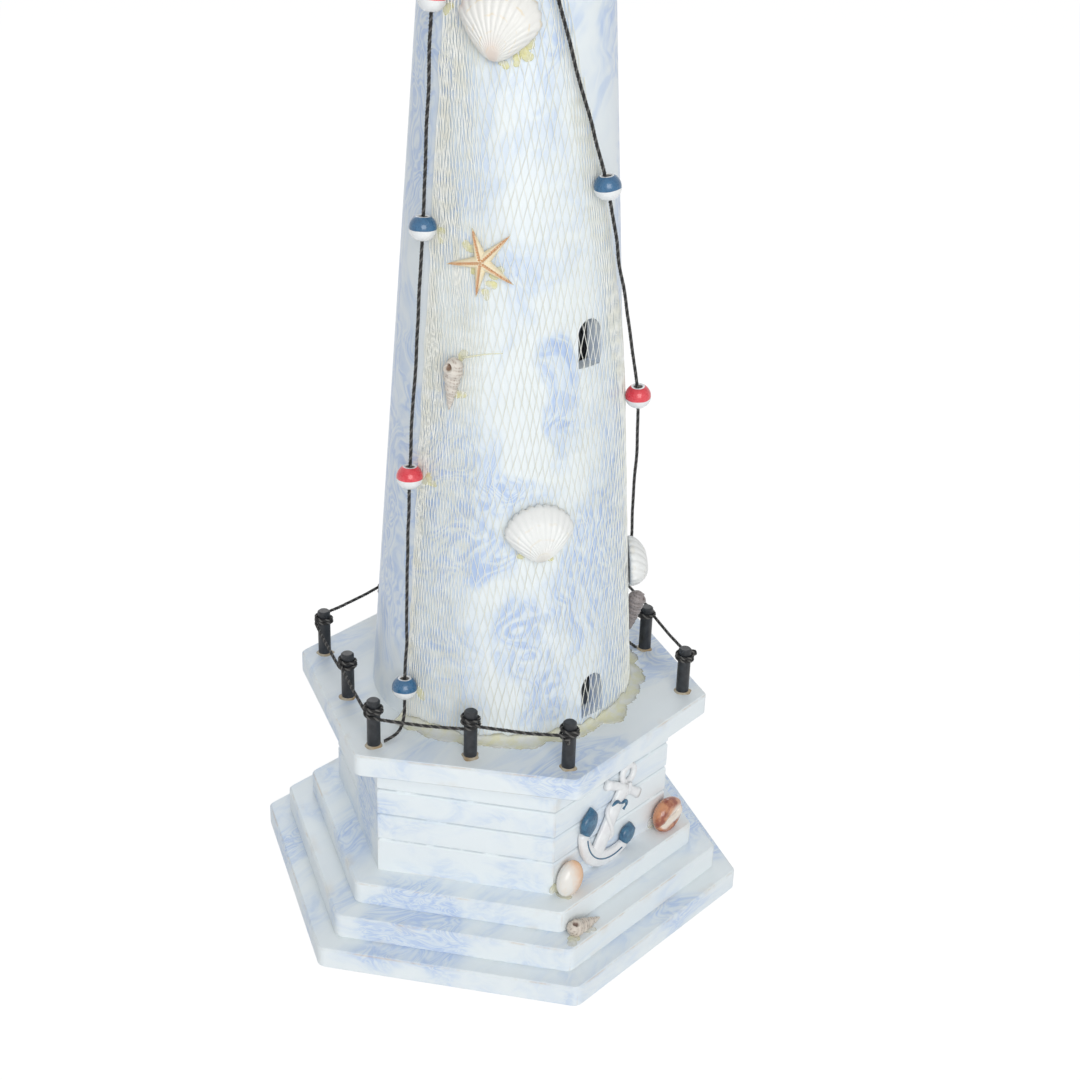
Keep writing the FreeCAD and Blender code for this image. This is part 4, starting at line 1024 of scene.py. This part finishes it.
def net_edges(height):
    """The wall's radius at a height, and the net's two edges along it from NET_CENTRE."""
    radius = TOWER_FOOT - TOWER_TAPER * height + NET_OUTSIDE
    share = (height - 0.3) / (NECK_TOP - 0.3)
    right = NET_RIGHT_FOOT + (NET_RIGHT_TOP - NET_RIGHT_FOOT) * share
    to_arc = radians(1) * radius
    return radius, (NET_LEFT + 0.6 - NET_CENTRE) * to_arc, (right - NET_CENTRE) * to_arc


def net_knots(doubled=False):
    """Knots by (column, row), each a place on the net's sheet; doubled is its folded left edge."""
    knots = {}
    rows = int((NET_HIGH - NET_LOW) / MESH_HALF_HEIGHT)
    for j in range(rows + 1):
        height = NET_LOW + (NET_HIGH - NET_LOW) * j / rows
        radius, low, high = net_edges(height)
        for i in NET_COLUMNS:
            across = (i + 0.5 * (j % 2)) * MESH_WIDTH
            ripple = noise.noise(Vector((across * 0.05, height * 0.03, 2.0)))
            squeezed = gathered(across + 2.2 * ripple, low, high)
            if squeezed is None:
                continue
            ragged = 0.8 + 0.9 * noise.noise(Vector((height * 0.02, across * 0.4, 4.0)))
            if doubled and squeezed > low + LEFT_GATHER * ragged * height / NET_HIGH:
                continue
            lift = 1.5 * noise.noise(Vector((across * 0.11, height * 0.05, 8.0)))
            lift += (0.5 + 1.6 * (squeezed < low + LEFT_GATHER)) * random.uniform(-0.7, 0.7)
            h = min(max(height + lift, 0.5), NECK_TOP - 0.6)
            angle = NET_CENTRE + degrees(squeezed / radius) + random.uniform(-0.22, 0.22)
            knots[i, j] = tower_point(angle + 0.6 * doubled, h, 0.42 + random.uniform(0, 0.22))
    return knots


def tie(points, faces, centre, size):
    """A net knot: a small eight-sided bead."""
    start = len(points)
    for way in ((1, 0, 0), (-1, 0, 0), (0, 1, 0), (0, -1, 0), (0, 0, 1.2), (0, 0, -1.2)):
        points.append(centre + Vector(way) * size)
    for x in (0, 1):
        for y in (2, 3):
            for z in (4, 5):
                order = (x, y, z) if (x + y + z) % 2 == 0 else (y, x, z)
                faces.append(tuple(start + n for n in order))


def net():
    points, faces = [], []
    for knots in (net_knots(), net_knots(True)):
        for (i, j), here in knots.items():
            tie(points, faces, here, THREAD * 1.9)
            for step in (0, 1) if j % 2 else (-1, 0):
                above = knots.get((i + step, j + 1))
                if above and (above - here).length < LONGEST_STRING:
                    strut(points, faces, here, above, THREAD)
    thing = build("knotted_net", points, faces, NET_STRING, smooth=False)
    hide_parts("fishing_net")


net()

# ---------------- glue along the net's foot


HEM_STEPS = 240


def hem():
    """The uneven run of glue between net and deck."""
    rows = []
    for k in range(HEM_STEPS + 1):
        angle = NET_LEFT + (NET_RIGHT_FOOT - NET_LEFT) * k / HEM_STEPS
        spot = Vector((angle * 0.09, 0, 0))
        slow = noise.noise(spot)
        quick = 0.6 * sin(angle * 0.31) * sin(angle * 0.173 + 1) + 0.3 * sin(angle * 0.71)
        scallop = sin(angle * 2.3) * sin(angle * 0.9)
        reach = 4.8 + 3.3 * slow + 1.3 * quick + 0.45 * scallop
        climb = 2.6 + 2.0 * noise.noise(spot * 1.7 + Vector((0, 9, 0))) + 0.9 * quick
        fine = 0.3 * sin(angle * 1.3) * sin(angle * 0.37)
        row = [
            tower_point(angle, 0.05, NET_OUTSIDE - 0.2),
            tower_point(angle, climb + fine, NET_OUTSIDE - 0.1),
            tower_point(angle, climb * 0.70, NET_OUTSIDE + 0.25 + 0.2 * fine),
            tower_point(angle, climb * 0.34, NET_OUTSIDE + reach * 0.15 + 0.2 * fine),
            tower_point(angle, 0.62 + 0.3 * fine, NET_OUTSIDE + reach * 0.42),
            tower_point(angle, 0.36 + 0.15 * quick, NET_OUTSIDE + reach * 0.76),
            tower_point(angle, 0.05, NET_OUTSIDE + reach),
        ]
        rows.append(row)
    thing = surface("glue_run", capped(rows), GLUE)
    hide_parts("glue_hem")


hem()

# ---------------- shells


def shell_material(name, base, band, tip, band_rows):
    """Chalky shell: growth bands across, a tinted beak."""
    finish = Finish(name, Roughness=0.46, Coat_Weight=0.08)
    along = finish.attribute("along")
    wander = finish.times(finish.noise(finish.place, 5.0, 2.0), 0.10)
    turns = finish.times(finish.math("ADD", along, wander), band_rows * 2 * pi)
    growth = finish.math("SINE", turns)
    patchy = finish.step(finish.noise(finish.place, 3.5), 0.42, 0.6)
    share = finish.times(finish.step(growth, 0.82, 1.0), patchy)
    colour = finish.mix(finish.times(share, 0.55), base, band)
    colour = finish.mix(finish.times(finish.step(along, 0.42, 0.06), 0.7), colour, tip)
    chalk = finish.noise(finish.place, 0.9, 3.0)
    finish.colour(finish.mix(finish.times(chalk, 0.12), colour, (0.70, 0.66, 0.60, 1)))
    finish.bump(finish.math("ADD", finish.times(growth, 0.4), chalk), 0.12, 0.6)
    return finish.material


COCKLE_CREAM = shell_material(
    "cockle_cream", (0.92, 0.90, 0.85, 1), (0.90, 0.74, 0.48, 1), (0.90, 0.72, 0.60, 1), 5
)
COCKLE_WHITE = shell_material(
    "cockle_white", (0.92, 0.92, 0.89, 1), (0.88, 0.83, 0.72, 1), (0.90, 0.83, 0.74, 1), 4
)


def cockle(name, node, place, width, height, depth, ribs, material):
    """One ribbed valve, beak at the origin, fan along Y, hollow side down."""
    fan, rings, spokes = radians(84), 30, ribs * 6
    across, along = width / 2, height / 2
    rows, marks = [], []
    for i in range(rings + 1):
        share = i / rings
        row = []
        for k in range(spokes + 1):
            angle = -fan + 2 * fan * k / spokes
            reach = 2 * cos(angle) / along
            reach /= (sin(angle) / across) ** 2 + (cos(angle) / along) ** 2
            rib = abs(cos(pi * ribs * k / spokes)) ** 0.8
            out = reach * share * (1 - 0.022 + 0.034 * rib * share)
            x, y = out * sin(angle), out * cos(angle)
            rim = min(1.0, hypot(x / across, (y - along) / along) / 1.02)
            x *= min(1.0, 0.58 + 0.80 * y / height)
            crown = (1 - rim**2.5) ** 0.60 * (1.0 + 0.22 * (1 - y / height) - 0.12)
            growth = 0.10 * sin(19 * share + 0.8 * sin(angle * 3)) * share
            relief = (0.62 * rib - 0.28) * share**0.8 * min(1.0, (1 - rim**6) * 3 + 0.35) + growth
            row.append(place @ Vector((x, y, max(depth * crown + relief, 0.15) + 0.25)))
            marks.append(share)
        rows.append(row)
    for share, lift in ((0.985, 0.0), (0.5, 0.0), (0.0, 0.0)):
        row = []
        for k in range(spokes + 1):
            spot = place.inverted() @ rows[rings][k]
            row.append(place @ Vector((spot.x * share, spot.y * share, lift)))
            marks.append(share)
        rows.append(row)
    thing = surface(name, rows, material, around=False, marks={"along": marks})
    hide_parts(node)


cockle(
    "cockle_valve_upper", "cockle_upper", wall_frame(-59.3, 243.5, ON_NET, -8),
    27.0, 25.0, 8.5, 21, COCKLE_CREAM,
)
cockle(
    "cockle_valve_middle", "cockle_middle", wall_frame(-32.5, 72.0, ON_NET, 2),
    25.5, 21.5, 7.5, 20, COCKLE_WHITE,
)
cockle(
    "cockle_valve_side", "cockle_side", wall_frame(44.0, 40.0, ON_NET, 12),
    22.0, 20.0, 7.0, 18, COCKLE_WHITE,
)


def whorl_material(name, base, spot, deep):
    """Cream spiral shell with rows of brown spots."""
    finish = Finish(name, Roughness=0.42, Coat_Weight=0.15)
    mark = finish.attribute("spot")
    patchy = finish.step(finish.noise(finish.place, 1.6, 3.0), 0.40, 0.58)
    colour = finish.mix(finish.times(finish.times(mark, patchy), 0.8), base, spot)
    colour = finish.mix(finish.attribute("inside"), colour, deep)
    finish.colour(colour)
    finish.bump(finish.noise(finish.place, 0.7, 3.0), 0.14, 0.7)
    return finish.material


CERITH_SKIN = whorl_material(
    "cerith_skin", (0.76, 0.70, 0.62, 1), (0.27, 0.17, 0.12, 1), (0.22, 0.13, 0.08, 1)
)
TURRET_SKIN = whorl_material(
    "turret_skin", (0.31, 0.27, 0.26, 1), (0.04, 0.03, 0.03, 1), (0.12, 0.08, 0.07, 1)
)
STEP_SKIN = whorl_material(
    "step_skin", (0.70, 0.62, 0.53, 1), (0.16, 0.09, 0.06, 1), (0.20, 0.13, 0.10, 1)
)

# Where the last whorl starts to close, as a share of a shell's length, and which way it opens.
BODY_WHORL = 0.76
MOUTH_ANGLE = pi / 2 + 0.25


def whorled(name, node, place, length, diameter, whorls, material, knobs=15):
    """A spiral shell lying on its side, tip towards -Y, with a lipped mouth at its wide end."""
    radius = diameter / 2
    lean = atan(radius / length)
    lying = place @ Matrix.Translation((0, -length / 2, 0.1)) @ Matrix.Rotation(lean, 4, "X")
    rows, spots, insides = [], [], []
    steps, around = 130, 54
    for i in range(steps + 1):
        share = max(i / steps, 0.004)
        whorl = whorls * share ** (1 / 1.15)
        row = []
        for k in range(around):
            angle = 2 * pi * k / around
            phase = (whorl - k / around) % 1.0
            bulge = 0.80 + 0.20 * sin(pi * phase) ** 0.6
            ridge = 0.5 + 0.5 * cos(2 * pi * 3 * phase)
            knob = max(0.0, cos(knobs * angle)) ** 0.7
            closing = max(0.0, (share - BODY_WHORL) / (1 - BODY_WHORL))
            out = radius * min(1.0, share / BODY_WHORL) ** 0.74 * (bulge + 0.045 * ridge * knob)
            out *= sqrt(max(0.0, 1 - closing**2.2))
            aside = remainder(angle - MOUTH_ANGLE, 2 * pi)
            mouth = exp(-(((share - 0.87) / 0.085) ** 2) - (aside / 0.62) ** 2)
            out -= 0.55 * radius * max(0.0, mouth - 0.45) - 0.10 * radius * (0.25 < mouth < 0.5)
            across = Vector((out * cos(angle), length * share, out * sin(angle)))
            row.append(lying @ across)
            spots.append(ridge * (0.35 + 0.65 * knob) * (mouth < 0.2))
            insides.append(min(1.0, max(0.0, (mouth - 0.52) * 6)))
        rows.append(row)
    thing = surface(name, rows, material, marks={"spot": spots, "inside": insides})
    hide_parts(node)


whorled("cerith_spiral", "cerith_shell", wall_frame(-73.8, 135.9, ON_NET, -9), 20.5, 7.0, 6, CERITH_SKIN)
whorled("turret_spiral", "turret_shell", wall_frame(42.5, 28.5, ON_NET, 4), 18.0, 7.0, 7, TURRET_SKIN)
along_step = Matrix.Translation((-31.5, -73.4, MIDDLE_LEDGE + 0.1))
along_step @= Matrix.Rotation(radians(88), 4, "Z")
whorled("step_spiral", "step_shell", along_step, 18.0, 6.6, 5, STEP_SKIN, knobs=9)


EGG_ROWS = 48
EGG_SIDES = 64


def egg_shell(name, node, place, size, material, mouth=0.0):
    """A glossy egg-shaped shell; mouth is the depth of the slot along its outer side."""
    width, length, depth = (s / 2 for s in size)
    rows, lips = [], []
    for i in range(EGG_ROWS + 1):
        lift = pi * i / EGG_ROWS
        row = []
        for angle, _ in ring(EGG_SIDES):
            x = sin(lift) * cos(angle) * (1 + 0.10 * cos(lift))
            z = sin(lift) * sin(angle)
            y = -cos(lift)
            lip = 0.0
            if mouth and z > 0:
                z = min(z, 0.62 + 0.05 * cos(2 * x))
                off = abs(x - 0.10 * sin(2.5 * y))
                lip = exp(-((off / (0.46 + 0.12 * sin(3 * y))) ** 2)) * (1 - abs(y) ** 4)
                teeth = 0.5 + 0.5 * cos(26 * y)
                z -= mouth * exp(-((off / (0.12 + 0.04 * teeth)) ** 2)) * (1 - abs(y) ** 3)
                z += 0.10 * exp(-(((off - 0.26) / 0.13) ** 2)) * (0.6 + 0.4 * teeth)
            row.append(place @ Vector((x * width, y * length, z * depth)))
            lips.append(lip)
        rows.append(row)
    thing = surface(name, rows, material, marks={"lip": lips})
    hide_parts(node)


def cowrie_material():
    finish = Finish("cowrie_skin", Roughness=0.2, Coat_Weight=0.5)
    blotch = finish.step(finish.noise(finish.place, 4.0, 3.0), 0.38, 0.62)
    brown = finish.mix(blotch, (0.30, 0.07, 0.035, 1), (0.62, 0.27, 0.13, 1))
    lip = finish.step(finish.attribute("lip"), 0.25, 0.75)
    colour = finish.mix(lip, brown, (0.84, 0.76, 0.66, 1))
    deep = finish.step(finish.attribute("lip"), 0.93, 0.995)
    finish.colour(finish.mix(deep, colour, (0.25, 0.10, 0.06, 1)))
    finish.bump(finish.noise(finish.place, 1.2), 0.08, 0.4)
    return finish.material


def orange_shell_material():
    finish = Finish("orange_shell_skin", Roughness=0.25, Coat_Weight=0.4)
    wander = finish.times(finish.noise(finish.place, 4.0, 3.0), 0.5)
    across = finish.vector("DOT_PRODUCT", finish.place, (1 / (9 * MM), 0, 0), 1)
    shift = finish.math("ADD", across, finish.math("ADD", wander, 3.25))
    share = finish.step(shift, -0.15, 0.75)
    colour = finish.mix(share, (0.86, 0.82, 0.76, 1), (0.85, 0.43, 0.17, 1))
    streak = finish.step(finish.noise(finish.stretched(finish.place, 1, 1, 4), 1.1, 3.0), 0.5, 0.7)
    finish.colour(finish.mix(finish.times(streak, 0.25), colour, (0.88, 0.70, 0.52, 1)))
    finish.bump(finish.noise(finish.place, 0.8), 0.06, 0.4)
    return finish.material


COWRIE_PLACE = front_frame(31.0, UPPER_LEDGE + 6.4, 4.6, -62)
CORNER_PLACE = front_frame(-29.0, UPPER_LEDGE + 7.0, 4.1, -12)
egg_shell(
    "cowrie_body", "cowrie", COWRIE_PLACE, (14.2, 15.6, 9.0), cowrie_material(), 0.5
)
egg_shell(
    "corner_nerite", "corner_shell", CORNER_PLACE, (12.6, 14.6, 8.0), orange_shell_material(),
)

# ---------------- starfish

# Each arm's direction in degrees and its length.
STAR_ARMS = [(108.7, 11.8), (45.9, 13.8), (-31.0, 13.2), (-97.5, 12.2), (188.0, 12.5)]
STAR_HALF_WIDTH = 2.4
STAR_RINGS = 22
STAR_SPOKES = 15


def starfish_material():
    finish = Finish("starfish_skin", Roughness=0.6)
    stripe = finish.attribute("stripe")
    rough = finish.noise(finish.place, 0.6, 3.0)
    cream = finish.mix(finish.step(rough, 0.4, 0.7), (0.93, 0.79, 0.53, 1), (0.95, 0.87, 0.67, 1))
    broken = finish.times(finish.step(stripe, 0.15, 0.55), finish.step(rough, 0.2, 0.45))
    finish.colour(finish.mix(finish.times(broken, 0.95), cream, (0.55, 0.20, 0.05, 1)))
    finish.bump(rough, 0.2, 0.6)
    return finish.material


def starfish():
    """Five tapering arms, each with a shallow furrow down its ridge and knobbed margins."""
    place = wall_frame(-62.1, 178.9, ON_NET, 0.0)
    arms = sorted((a % 360, r) for a, r in STAR_ARMS)
    rows_by_ring = [[] for _ in range(STAR_RINGS + 1)]
    stripes = [[] for _ in range(STAR_RINGS + 1)]
    for n, (direction, length) in enumerate(arms):
        before = arms[n - 1][0] - (360 if n == 0 else 0)
        after = arms[(n + 1) % 5][0] + (360 if n == 4 else 0)
        halves = ((before - direction) / 2, (after - direction) / 2)
        for k in range(-STAR_SPOKES, STAR_SPOKES):
            share = abs(k / STAR_SPOKES) ** 2.3
            delta = halves[0] * share if k < 0 else halves[1] * share
            off = radians(delta)
            slope = STAR_HALF_WIDTH / length
            reach = STAR_HALF_WIDTH / (abs(sin(off)) + slope * cos(off))
            reach = min(reach, length * 0.985)
            way = radians(direction + delta)
            for i in range(STAR_RINGS + 1):
                out = reach * (i / STAR_RINGS) ** 0.8
                along = out * cos(off)
                aside = abs(out * sin(off))
                half = max(STAR_HALF_WIDTH * (1 - along / length), 0.12)
                crown = max(0.0, 1 - min(1.0, aside / half) ** 2.2) ** 0.6
                tall = 2.5 * (1 - 0.62 * along / length)
                furrow = 0.5 * exp(-((aside / 0.4) ** 2)) * min(1.0, out / 1.2)
                knob = 0.16 * max(0.0, sin(along * 5.2)) * min(1.0, aside / 0.7)
                height = tall * crown - (furrow - knob) * (crown > 0.2)
                spot = Vector((out * cos(way), out * sin(way), max(height, 0.0) + 0.35))
                rows_by_ring[i].append(place @ spot)
                inside = along < length * 0.93
                dots = 0.55 + 0.45 * sin(along * 7.5)
                stripes[i].append(exp(-((aside / 0.62) ** 2)) * inside * dots)
    bottom = []
    for point in rows_by_ring[STAR_RINGS]:
        spot = place.inverted() @ point
        bottom.append(place @ Vector((spot.x, spot.y, 0.0)))
    rows = rows_by_ring + [bottom, [place @ Vector((0, 0, 0))] * len(bottom)]
    marks = [m for row in stripes for m in row] + [0.0] * (2 * len(bottom))
    thing = surface("starfish_body", rows, starfish_material(), marks={"stripe": marks})
    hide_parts("starfish")


starfish()

# ---------------- anchor

ANCHOR_WHITE = simple(
    "anchor_white", (0.84, 0.83, 0.83, 1), (0.90, 0.90, 0.89, 1), 3.0, 0.34, 0.12, Coat_Weight=0.2
)
ANCHOR_BLUE = simple(
    "anchor_blue", (0.025, 0.10, 0.19, 1), (0.05, 0.17, 0.28, 1), 2.0, 0.3, 0.12, Coat_Weight=0.3
)


def cast(name, rows, material):
    thing = surface(name, capped(rows), material)
    return thing


def squared(wave):
    """A sine or cosine pushed out, so that a bar's section is nearly a rounded box."""
    return copysign(abs(wave) ** 0.75, wave)


def arc(centre, size, start, sweep, steps):
    """Points along an ellipse in the anchor's plane; angles are in degrees."""
    angles = [radians(start + sweep * k / steps) for k in range(steps + 1)]
    return [centre + Vector((size[0] * cos(a), size[1] * sin(a), 0)) for a in angles]


def flat_bar(name, path, half_width, half_depth, material, place, sides=16):
    """A rounded, flattened bar along a path in the anchor's plane."""
    rows = []
    for i, here in enumerate(path):
        ahead = (path[min(i + 1, len(path) - 1)] - path[max(i - 1, 0)]).normalized()
        side = Vector((ahead.y, -ahead.x, 0))
        share = i / (len(path) - 1)
        wide = half_width(share)
        deep = half_depth * min(1.0, 0.25 + wide / 2.2)
        row = []
        for _, way in ring(sides):
            spot = here + side * (wide * squared(way.x)) + UP * (deep + deep * squared(way.y))
            row.append(place @ spot)
        rows.append(row)
    return cast(name, rows, material)


def anchor():
    place = front_frame(-13.0, UPPER_LEDGE + 3.3, 0.1, -33)
    arms = arc(Vector((1.0, 22.2, 0)), (18.6, 19.2), 214, 112, 40)
    body = flat_bar(
        "anchor_arms", arms, lambda s: 2.2 + 1.3 * sin(pi * s), 1.5, ANCHOR_WHITE, place
    )
    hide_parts("anchor")
    shank = [Vector((0, 3 + 31 * k / 12, 0)) for k in range(13)]
    flat_bar("anchor_shank", shank, lambda s: 4.1 - 1.2 * s, 1.45, ANCHOR_WHITE, place)
    stock = [Vector((-12 + 24 * k / 14, 31.6 + 0.8 * sin(pi * k / 14), 0)) for k in range(15)]
    flat_bar("anchor_stock", stock, lambda s: 1.7 + 0.5 * abs(2 * s - 1) ** 3, 1.35, ANCHOR_WHITE, place)
    loop = [
        Vector((3.6 * sin(2 * pi * k / 32), 38 + 3.6 * cos(2 * pi * k / 32), 0))
        for k in range(33)
    ]
    flat_bar("anchor_ring", loop, lambda s: 1.35, 1.1, ANCHOR_WHITE, place, 12)
    for side, name, long, half in ((-1, "left", 10.6, 4.1), (1, "right", 8.2, 3.7)):
        path = []
        for k in range(15):
            share = k / 14
            path.append(Vector((1.0 + side * (14.4 + 1.6 * share**1.4), 11.2 + long * share, 0)))
        flat_bar(
            f"anchor_fluke_{name}", path,
            lambda s: 0.2 + half * sin(pi * min(1.0, 0.12 + 0.88 * s)) ** 0.9,
            1.75, ANCHOR_BLUE, place,
        )
    painted_rope = [(-5.2, 24.6), (-3.0, 27.2), (0.2, 26.0), (2.6, 28.4), (4.4, 26.6), (3.4, 24.4)]
    strokes = [place @ Vector((x, y, 3.1)) for x, y in painted_rope]
    line = tube_rows(resampled(softened(strokes), 0.6), lambda s: 0.3 + 0.4 * abs(sin(7 * s)), 8)
    cast("anchor_rope_stroke", line, ANCHOR_BLUE)
    lower = [place @ spot for spot in arc(Vector((1.0, 21.9, 3.0)), (17.6, 18.6), 222, 96, 30)]
    cast("anchor_arm_line", tube_rows(lower, 0.3, 8), ANCHOR_BLUE)
    rope_path = []
    for k in range(90):
        share = k / 89
        turn = share * 2.6 * pi
        x = 4.6 * sin(turn) * (0.75 + 0.25 * share)
        rope_path.append(place @ Vector((x, 35 - 24 * share, 1.6 + 1.7 * cos(turn))))
    cast("anchor_cast_rope", tube_rows(rope_path, 0.85, 10), ANCHOR_WHITE)


anchor()

# ---------------- drops of glue round the decorations

# Where each lies on the tower and how big it is: angle, height, size.
TOWER_GLUE = [
    (-88.5, 258.0, 2.0), (-86.6, 187.0, 2.0), (-86.0, 184.0, 1.4), (-86.6, 98.0, 2.2),
    (-83.5, 97.0, 1.5), (-85.0, 13.5, 2.4), (-34.5, 285.0, 1.6), (3.0, 203.0, 1.2),
    (-69.5, 183.2, 2.0), (-66.5, 176.0, 1.6), (-54.4, 175.2, 2.2), (-57.0, 171.4, 1.6),
    (-59.8, 168.0, 1.6), (-70.4, 146.0, 1.8), (-71.0, 132.0, 1.9), (-43.0, 246.0, 2.3),
    (-40.5, 249.5, 2.0), (-39.0, 254.0, 1.6), (-54.0, 242.6, 1.5), (-47.5, 244.0, 1.6),
    (-23.0, 77.0, 2.2), (-19.0, 82.0, 2.0), (-27.5, 73.0, 1.8), (-40.0, 74.5, 1.7),
]


# On the drum's entrance side: across, height, size.
WALL_GLUE = [
    (37.0, UPPER_LEDGE + 4.5, 2.4), (-33.0, UPPER_LEDGE + 2.2, 2.6), (26.0, UPPER_LEDGE + 2.0, 2.2),
]
# On the boards: x, y, height, size.
LEDGE_GLUE = [
    (-40.0, -75.0, MIDDLE_LEDGE, 2.8), (-31.0, -75.5, MIDDLE_LEDGE, 2.0),
    (-31.5, -62.5, UPPER_LEDGE, 2.6), (33.0, -62.5, UPPER_LEDGE, 2.4),
]


def tower_glue():
    for i, (angle, height, size) in enumerate(TOWER_GLUE):
        place = wall_frame(angle, height, NET_OUTSIDE - 0.35)
        lump(
            f"tower_glue_{i + 1:02d}", place.translation, size, YELLOW_GLUE, i,
            0.6, place.to_3x3() @ UP,
        )
    strand = []
    for t in range(13):
        strand.append(tower_point(-70.3 + 19.5 * t / 12, 145.2 + 2.9 * sin(t / 12 * 1.5), 1.0))
    rows = capped(tube_rows(strand, lambda s: 0.42 - 0.34 * s, 8))
    thing = surface("glue_strand", rows, YELLOW_GLUE)


def base_glue():
    front = Vector((0, -1, 0))
    for i, (x, height, size) in enumerate(WALL_GLUE):
        spot = Vector((x, FRONT - 0.05, height))
        lump(f"wall_glue_{i + 1}", spot, size, GLUE, 40 + i, 1.4, front)
    for i, (x, y, z, size) in enumerate(LEDGE_GLUE):
        lump(f"ledge_glue_{i + 1}", Vector((x, y, z + 0.02)), size, GLUE, 50 + i, 0.8)


tower_glue()
base_glue()
